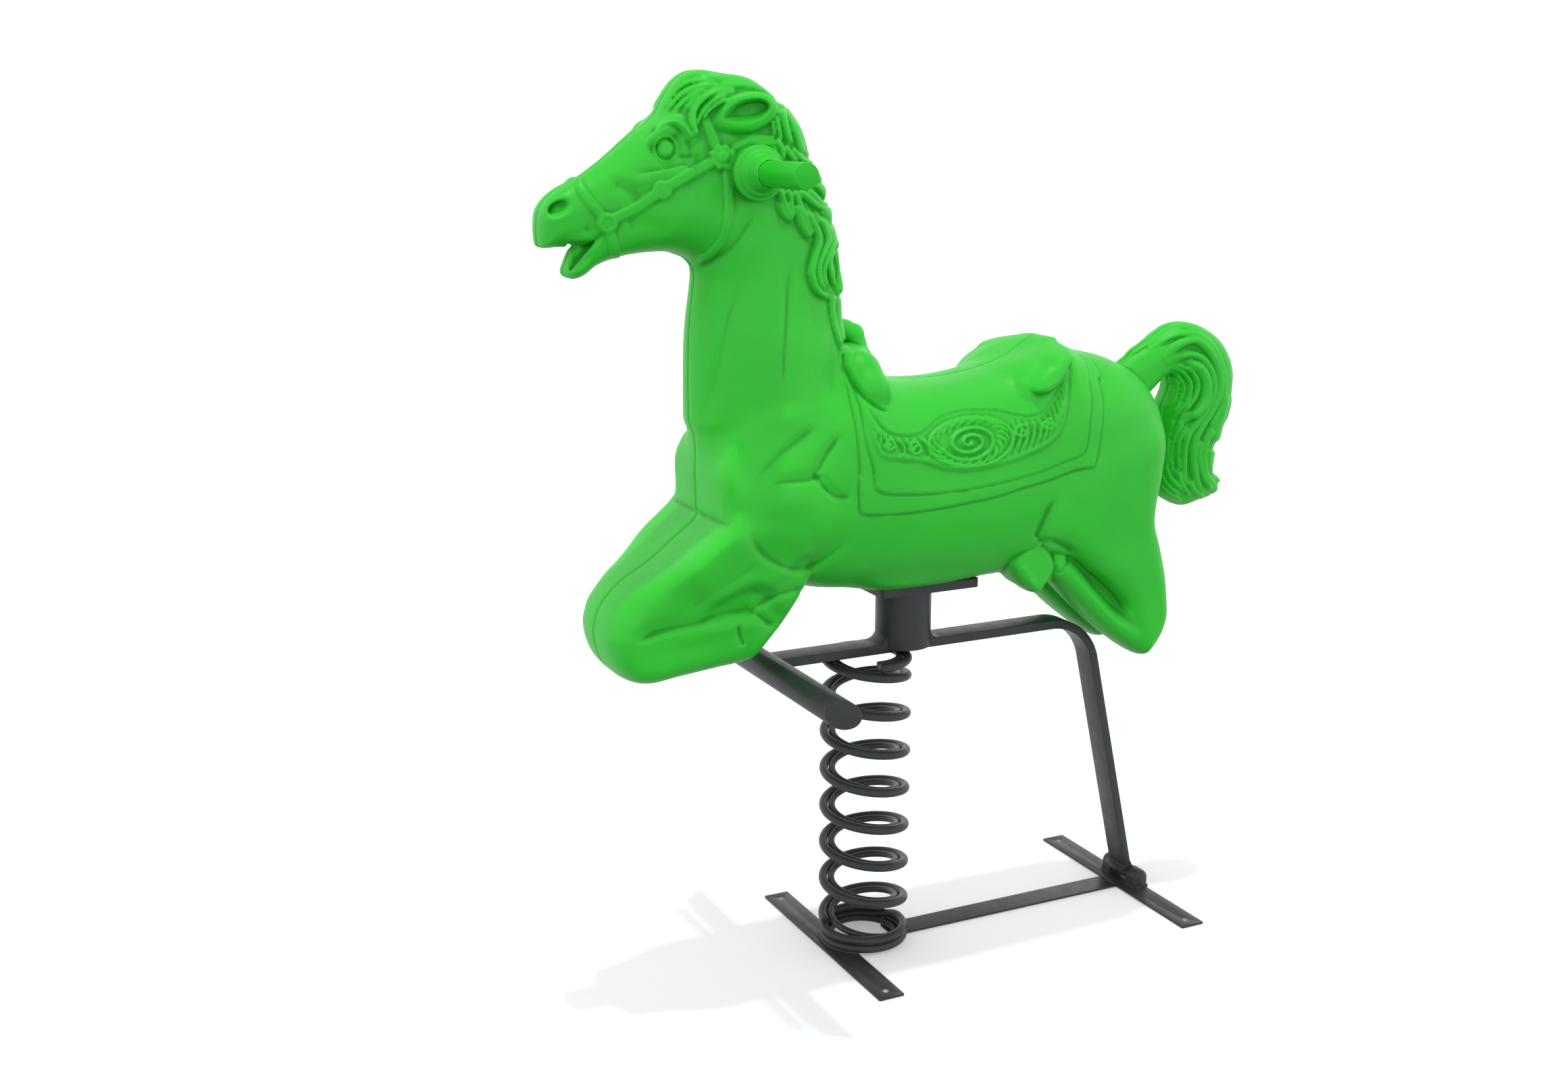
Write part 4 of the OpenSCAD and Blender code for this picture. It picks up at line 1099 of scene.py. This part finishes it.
def round_box(x0, x1, y0, y1, r, n=6):
    out = []
    for cx, cy, a0 in ((x1 - r, y1 - r, 0), (x0 + r, y1 - r, 90), (x0 + r, y0 + r, 180), (x1 - r, y0 + r, 270)):
        for k in range(n + 1):
            a = math.radians(a0 + 90 * k / n)
            out.append((cx + r * math.cos(a), cy + r * math.sin(a)))
    return out


def build(name, bag, body, nodes, mat, bevel=0.0, segs=2, tidy=False):
    bm = bmesh.new()
    vs = [bm.verts.new((a / 1000, b / 1000, c / 1000)) for a, b, c in bag.v]
    for q_ in bag.f:
        try:
            bm.faces.new([vs[i] for i in q_])
        except ValueError:
            pass
    bmesh.ops.remove_doubles(bm, verts=bm.verts[:], dist=1e-6)
    bmesh.ops.recalc_face_normals(bm, faces=bm.faces[:])
    if tidy:
        bmesh.ops.dissolve_limit(bm, angle_limit=0.005, verts=bm.verts[:], edges=bm.edges[:])
    if bevel:
        sharp = [e for e in bm.edges if len(e.link_faces) == 2 and e.calc_face_angle() > 0.6]
        bmesh.ops.bevel(bm, geom=sharp, offset=bevel / 1000, segments=segs, profile=0.5, affect="EDGES", clamp_overlap=True)
    bmesh.ops.triangulate(bm, faces=[f for f in bm.faces if len(f.verts) > 4])
    me = bpy.data.meshes.new(name)
    bm.to_mesh(me)
    bm.free()
    me.polygons.foreach_set("use_smooth", np.ones(len(me.polygons), bool))
    me.set_sharp_from_angle(angle=math.radians(38))
    me.materials.append(mat)
    ob = bpy.data.objects.new(name, me)
    bpy.context.scene.collection.objects.link(ob)
    if body:
        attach(ob, body)
    if nodes:
        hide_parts(*nodes)
    return ob


rng = np.random.default_rng(7)


def bead(bag, pts, r, pitch=3.6):
    """A weld laid along a line: small overlapping ripples of uneven size."""
    p_ = curve_open(pts, 8) if len(pts) > 2 else np.asarray(pts, float)
    seg = np.linalg.norm(np.diff(p_, axis=0), axis=1)
    run = np.concatenate([[0], np.cumsum(seg)])
    n = max(6, int(run[-1] / 0.9))
    s_ = np.linspace(0, run[-1], n)
    q_ = np.stack([np.interp(s_, run, p_[:, k]) for k in range(3)], 1)
    wob = np.interp(s_, np.linspace(0, run[-1], max(3, int(run[-1] / 9))), rng.normal(0, 0.05, max(3, int(run[-1] / 9))))
    rad = r * (0.92 + 0.16 * np.abs(np.sin(math.pi * s_ / pitch)) + wob)
    rad[0] *= 0.55
    rad[-1] *= 0.55
    bag.sweep(q_, rad, 10)


# ground bars and the tie between them
for nm, node, x in (("front_bar", "front_ground_bar", 252), ("rear_bar", "rear_ground_bar", -252)):
    b = Bag().slab(round_box(x - 19, x + 19, -180, 180, 1.2, 3), [round_hole(x, s_ * 162, 4.5) for s_ in (-1, 1)], 0, BAR_T)
    ob = build(nm, b, "base", [node], FRAME, 0.45, 2)
    ob.data.materials.append(STEEL)
    for q_ in ob.data.polygons:
        c_ = q_.center * 1000
        if abs(q_.normal[2]) < 0.3 and math.hypot(c_[0] - x, abs(c_[1]) - 162) < 5:
            q_.material_index = 1
b = Bag().slab(round_box(-233, 160, -19, 19, 0.6, 2), [], 0, BAR_T)
build("tie_strap", b, "base", ["tie_bar"], FRAME, 0.45, 2)

# seat ring: two turns of wire laid on each other, the upper one stepping up at the back
ts = np.linspace(0, 1.985, 150)
az = np.radians(205) - 2 * math.pi * ts
zr = BAR_T + COIL_W + 12.0 * step((ts - 0.93) / 0.14)
pts = np.stack([COIL_X + COIL_R * np.cos(az), COIL_R * np.sin(az), zr], 1)
build("seat_coils", Bag().sweep(pts, COIL_W, 20), "base", ["spring_seat_ring"], FRAME, 0.8, 2)


def coil_points(r, w, t0, t1, zlo, zhi, per=56):
    t = np.linspace(t0, t1, int((t1 - t0) * per))
    z = np.maximum(zlo, np.minimum(66 + 55.3 * (t - 1), zhi))
    # the change of slope is eased
    k = np.hanning(15)
    k /= k.sum()
    z = np.convolve(np.pad(z, 7, mode="edge"), k, "valid")
    a = np.radians(150 - 360 * t)
    return np.stack([COIL_X + r * np.cos(a), r * np.sin(a), z], 1)


ARM_BOT = 429.3
outer = build("outer_coil", Bag().sweep(coil_points(COIL_R, COIL_W, 0.43, 8.19, BAR_T + 31.5, ARM_BOT - COIL_W - 0.3), COIL_W, 20), None, ["outer_spring"], FRAME, 0.9, 2)
inner_ = build("inner_coil", Bag().sweep(coil_points(INNER_R, INNER_W, -0.8, 8.19, BAR_T + INNER_W + 0.2, ARM_BOT - INNER_W - 0.3), INNER_W, 18), None, ["inner_spring"], FRAME, 0.7, 2)

# bearing blocks: arched, with a rounded outer end and a bore for the bush
PX, PZ = -262.0, 17.5


def arch(inset, n=22):
    r = 12.5 - inset
    out = [(PX - r, BAR_T), (PX + r, BAR_T)]
    out += [(PX + r * math.cos(math.pi * k / n), PZ + r * math.sin(math.pi * k / n)) for k in range(n + 1)]
    return out


for nm, node, sgn in (("left_block", "left_bearing_block", 1), ("right_block", "right_bearing_block", -1)):
    rows = [(20.0, 0.5), (20.5, 0.0)] + [(44 - 7 + 7 * math.sin(a), 7 * (1 - math.cos(a))) for a in np.radians([0, 15, 30, 45, 60, 72])]
    b = Bag()
    v, f, n = [], [], 0
    for y_, ins in rows:
        loop = arch(ins)
        n = len(loop)
        v += [(a, sgn * y_, c) for a, c in loop]
    for k in range(len(rows) - 1):
        f += [(k * n + j, k * n + (j + 1) % n, (k + 1) * n + (j + 1) % n, (k + 1) * n + j) for j in range(n)]
    f.append(tuple((len(rows) - 1) * n + j for j in range(n)))
    hole = round_hole(PX, PZ, 8.0, 32)
    tris = tessellate_polygon([[Vector((a, c, 0)) for a, c in arch(0.5)], [Vector((a, c, 0)) for a, c in hole]])
    o = len(v)
    v += [(a, sgn * 20.0, c) for a, c in hole] + [(a, sgn * 40.0, c) for a, c in hole]
    f += [tuple(i if i < n else o + i - n for i in t) for t in tris]
    f += [(o + j, o + (j + 1) % 32, o + 32 + (j + 1) % 32, o + 32 + j) for j in range(32)]
    f.append(tuple(o + 32 + j for j in range(32)))
    b.add(v, f)
    build(nm, b, "base", [node], FRAME)

b = Bag()
for sgn in (-1, 1):
    b.lathe([(6.05, sgn * 20), (7.4, sgn * 20), (8, sgn * 20.6), (8, sgn * 39.4), (7.4, sgn * 40), (6.05, sgn * 40), (6.05, sgn * 20)], "y", (PX, 0, PZ), 40)
build("bushes", b, "base", ["pivot_bushes"], BRONZE)
build("pin", Bag().lathe([(0, -39), (5, -39), (6, -38), (6, 38), (5, 39), (0, 39)], "y", (PX, 0, PZ), 40), "rider", ["hinge_pin"], STEEL)
build("knuckle", Bag().lathe([(6, -19.3), (10.2, -19.3), (11, -18.5), (11, 18.5), (10.2, 19.3), (6, 19.3), (6, -19.3)], "y", (PX, 0, PZ), 44), "rider", ["hinge_barrel"], FRAME)

# the bent arm, its foot, and the bars and tube welded to it
BC = (-97.0, 357.3)
BEND = math.radians(77)
LEG = 352.0


def leg_at(lx, lz):
    c, s_ = math.cos(BEND + math.pi / 2), math.sin(BEND + math.pi / 2)
    return BC[0] + lx * c - lz * s_, BC[1] + lx * s_ + lz * c


side_to = lambda a, b_, c: (a, c, b_)
arc_o = [(BC[0] + 84.7 * math.cos(math.pi / 2 + BEND * k / 30), BC[1] + 84.7 * math.sin(math.pi / 2 + BEND * k / 30)) for k in range(31)]
arc_i = [(BC[0] + 72.0 * math.cos(math.pi / 2 + BEND * k / 30), BC[1] + 72.0 * math.sin(math.pi / 2 + BEND * k / 30)) for k in range(31)]
nose = [(363 - 19.05 * math.cos(a), 436 + 19.05 * math.sin(a)) for a in np.radians([-20.6, -10, 0, 10, 18.4])]
outline = nose + arc_o + [leg_at(84.7, LEG), leg_at(72.0, LEG)] + arc_i[::-1]
build("bent_arm", Bag().slab(outline, [], -19, 19, side_to), "rider", ["arm"], FRAME, 1.1, 3)
cope = [(84.34 + 11.05 * math.cos(a), 368.2 + 11.05 * math.sin(a)) for a in np.radians([-77.5, -90, -102, -115, -132])]
foot = [leg_at(*q_) for q_ in [(63, 352), (86.7, 352)] + cope + [(63, 360)]]
build("arm_foot", Bag().slab(foot, [], -19, 19, side_to), "rider", ["arm_foot_plate"], FRAME, 0.9, 2)

SLANT = math.tan(math.radians(36))


def slanted(bag):
    """Leans the two ends of the foot rest so that they face out and forward."""
    bag.v = [(x, y_ - math.copysign(1.0, y_) * SLANT * (x - 363), z_) for x, y_, z_ in bag.v]
    return bag


build("foot_bar", slanted(Bag().lathe([(16, -239), (18.7, -239), (19, -238.6), (19, 238.6), (18.7, 239), (16, 239), (16, -239)], "y", (363, 0, 436), 64)), "rider", ["foot_rest_bar"], FRAME)
b = Bag()
for sgn in (-1, 1):
    b.lathe([(0, sgn * 242), (17.6, sgn * 242), (18.7, sgn * 241.7), (19, sgn * 241.0), (19, sgn * 239.4), (18.7, sgn * 239), (0, sgn * 239)], "y", (363, 0, 436), 64)
build("foot_caps", slanted(b), "rider", ["foot_rest_caps"], FRAME)

# pedestal: a tube that straddles the arm
b = Bag()
angs = []
for k in range(72):
    a = 2 * math.pi * k / 72
    angs.append((a, abs(39 * math.sin(a)) < 19))
edge_a = math.asin(19 / 39)
for a in (edge_a, math.pi - edge_a, math.pi + edge_a, 2 * math.pi - edge_a):
    angs += [(a - 1e-4, abs(39 * math.sin(a - 1e-4)) < 19), (a + 1e-4, abs(39 * math.sin(a + 1e-4)) < 19)]
angs.sort()
n = len(angs)
v, f = [], []
for r, top in ((39, 514), (34, 514)):
    for a, over in angs:
        v.append((142 + r * math.cos(a), r * math.sin(a), 442 if over else 434.3))
    for a, over in angs:
        v.append((142 + r * math.cos(a), r * math.sin(a), top))
for j in range(n):
    i = (j + 1) % n
    f += [(j, i, n + i, n + j), (2 * n + i, 2 * n + j, 3 * n + j, 3 * n + i), (n + j, n + i, 3 * n + i, 3 * n + j), (i, j, 2 * n + j, 2 * n + i)]
b.add(v, f)
build("pedestal", b, "rider", ["pedestal_tube"], FRAME)
BOLTS = [(56, -28), (56, 28), (184, -28), (184, 28)]
b = Bag().slab(round_box(43, 197, -39, 39, 5, 6), [round_hole(x, y_, 8.05, 36) for x, y_ in BOLTS], 514, 526.7)
build("top_plate", b, "rider", ["mount_plate"], FRAME, 1.0, 3)


def socket_head(bag, c, r, top, depth, hexr, axis, sign, rest):
    """A screw with a six-sided socket; rest is the profile after the head's rim."""
    hexa = [(hexr * math.cos(math.pi / 3 * k), hexr * math.sin(math.pi / 3 * k)) for k in range(6)]
    rim = round_hole(0, 0, r, 36)
    tris = tessellate_polygon([[Vector((a, b_, 0)) for a, b_ in rim], [Vector((a, b_, 0)) for a, b_ in hexa]])
    put = (lambda a, b_, h: (c[0] + a, h, c[2] + b_)) if axis == "y" else (lambda a, b_, h: (c[0] + a, c[1] + b_, h))
    v = [put(a, b_, top) for a, b_ in rim + hexa] + [put(a, b_, top + sign * depth) for a, b_ in hexa]
    f = [tuple(t) for t in tris] + [(36 + k, 36 + (k + 1) % 6, 42 + (k + 1) % 6, 42 + k) for k in range(6)] + [tuple(range(42, 48))]
    bag.add(v, f)
    bag.lathe([(r, top)] + rest, axis, c if axis == "y" else (c[0], c[1], 0), 36)


b = Bag()
for x, y_ in BOLTS:
    socket_head(b, (x, y_, 0), 7.9, 514.1, 2.4, 3.0, "z", 1, [(4, 518), (4, 543), (3.2, 544), (0, 544)])
build("plate_screws", b, "rider", ["mount_bolts"], STEEL)
b = Bag()
for sx, sz in SCREWS:
    socket_head(b, (sx, 0, sz), 4.6, -36, 3.0, 2.6, "y", 1, [(5, -35.6), (5, -30), (3, -30), (3, 23.2), (2.3, 24), (0, 24)])
build("half_screws", b, "rider", ["seam_screws"], STEEL)

# hand grip
build("grip_bar", Bag().lathe([(12.9, -208), (15.6, -208), (15.9, -207.7), (15.9, 207.7), (15.6, 208), (12.9, 208), (12.9, -208)], "y", (400, 0, 1085), 56), "rider", ["handle_bar"], GRIP)
b = Bag()
for sgn in (-1, 1):
    b.lathe([(0, sgn * 210), (14.6, sgn * 210), (15.6, sgn * 209.6), (15.9, sgn * 208.8), (15.6, sgn * 208), (12.8, sgn * 208), (12.8, sgn * 195), (12, sgn * 194), (0, sgn * 194)], "y", (400, 0, 1085), 56)
build("grip_plugs", b, "rider", ["handle_plugs"], GRIP)
build("cross_pin", Bag().lathe([(0, -21), (2.4, -21), (3, -20.4), (3, 20.4), (2.4, 21), (0, 21)], "x", (400, 0, 1085), 28), "rider", ["handle_cross_pin"], STEEL)

# welds
b = Bag()
for r in (COIL_R + 4.6, COIL_R - 4.6):
    lim = math.degrees(math.acos(33.5 / r))
    bead(b, [(COIL_X + r * math.cos(math.radians(a)), r * math.sin(math.radians(a)), BAR_T + 1.1) for a in np.linspace(-lim, lim, 12)], 1.9)
r = COIL_R + 4.6
lim = math.degrees(math.asin(18.5 / r))
bead(b, [(COIL_X + r * math.cos(math.radians(180 + a)), r * math.sin(math.radians(180 + a)), BAR_T + 1.1) for a in np.linspace(-lim, lim, 8)], 1.9)
for sgn in (-1, 1):
    for dx in (-13.0, 13.0):
        bead(b, [(PX + dx, sgn * 21, BAR_T + 0.5), (PX + dx, sgn * 42, BAR_T + 0.5)], 1.5, 3.0)
    bead(b, [(PX - 11.5, sgn * 43.4, BAR_T + 0.5), (PX + 11.5, sgn * 43.4, BAR_T + 0.5)], 1.6, 3.0)
bead(b, [(-233, -18, BAR_T - 0.2), (-233, 18, BAR_T - 0.2)], 1.3)
build("frame_welds", b, "base", [], FRAME)
b = Bag()
for way in (1, -1):
    # hollow fillets where the tube stands on the arm
    prof = [(39 + 13 * (1 - math.sin(a)), 442 + 13 * (1 - math.cos(a))) for a in np.radians(np.linspace(0, 90, 9))] + [(38.6, 441.6)]
    cols = np.linspace(-18.2, 18.2, 15)
    v = [(142 + way * math.sqrt(r * r - y_ * y_), y_ + 0.25 * math.sin(1.7 * y_ + i), z_ + (0.2 * math.sin(1.3 * y_) if 0 < i < 8 else 0))
         for y_ in cols for i, (r, z_) in enumerate(prof)]
    k = len(prof)
    f = [(j * k + i, j * k + (i + 1) % k, (j + 1) * k + (i + 1) % k, (j + 1) * k + i) for j in range(14) for i in range(k)]
    f += [tuple(range(k)), tuple(14 * k + i for i in range(k))]
    b.add(v, f)
for s_ in (-1, 1):
    bead(b, [(142 - 33.5, s_ * 19.6, 433.6), (142 + 33.5, s_ * 19.6, 433.6)], 1.6)
    bead(b, [(344.2, s_ * 19.3, 431), (343.6, s_ * 19.3, 436), (344.2, s_ * 19.3, 441)], 1.6)
bead(b, [(345.2, -18, 442.4), (345.2, 18, 442.4)], 2.4, 4.0)
bead(b, [(345.4, -18, 428.8), (345.4, 18, 428.8)], 2.2, 4.0)
p1, p2 = leg_at(71.2, 351.2), leg_at(85.6, 351.4)
for q_ in (p1, p2):
    bead(b, [(q_[0], -18, q_[1]), (q_[0], 18, q_[1])], 1.7)
p3 = leg_at(76.2, 360.4)
bead(b, [(p3[0], -18, p3[1]), (p3[0], 18, p3[1])], 1.8)
p4 = leg_at(87.4, 357.6)
bead(b, [(p4[0], -18, p4[1]), (p4[0], 18, p4[1])], 1.6)
build("arm_welds", b, "rider", [], FRAME)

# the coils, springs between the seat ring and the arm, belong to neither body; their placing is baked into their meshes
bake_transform(outer)
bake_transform(inner_)

# ------------------------------------------------------------------ stage

SKY = [(0.0, 0.08), (0.41, 0.10), (0.475, 1.0), (0.70, 1.0), (0.82, 0.45), (1.0, 0.42)]
SKY_GAIN = 1.38
SUN = 0.95


def make_stage():
    me = bpy.data.meshes.new("floor")
    bm = bmesh.new()
    bmesh.ops.create_grid(bm, x_segments=2, y_segments=2, size=30)
    bm.to_mesh(me)
    bm.free()
    ob = bpy.data.objects.new("floor", me)
    ob.location = (0, 0, -0.0006)
    bpy.context.scene.collection.objects.link(ob)
    m, nt, bs = new_mat("pale_floor")
    n = noise(nt, 0.8, 2.0)
    tone = ramp(nt, [(0.3, (0.88, 0.89, 0.90)), (0.7, (0.91, 0.92, 0.92))], n.outputs["Fac"])
    nt.links.new(tone.outputs[0], bs.inputs["Base Color"])
    bs.inputs["Roughness"].default_value = 0.9
    bs.inputs["Specular IOR Level"].default_value = 0.1
    bs.inputs["Emission Color"].default_value = (0.98, 1.0, 1.0, 1)
    bs.inputs["Emission Strength"].default_value = 0.24
    me.materials.append(m)
    ob.visible_diffuse = False
    w = bpy.data.worlds.new("studio")
    bpy.context.scene.world = w
    w.use_nodes = True
    nt = w.node_tree
    bg = next(n for n in nt.nodes if n.type == "BACKGROUND")
    tc = nt.nodes.new("ShaderNodeTexCoord")
    sp = nt.nodes.new("ShaderNodeSeparateXYZ")
    nt.links.new(tc.outputs["Generated"], sp.inputs[0])
    h = remap(nt, sp.outputs[2], -1, 1, 0, 1)
    sky = ramp(nt, [(p, (v, v, v)) for p, v in SKY], h)
    nt.links.new(sky.outputs[0], bg.inputs[0])
    bg.inputs[1].default_value = SKY_GAIN
    sun = bpy.data.lights.new("overhead", "SUN")
    sun.energy = SUN
    sun.angle = math.radians(2.0)
    so = bpy.data.objects.new("overhead", sun)
    bpy.context.scene.collection.objects.link(so)


make_stage()
bpy.context.scene.view_settings.view_transform = "Standard"
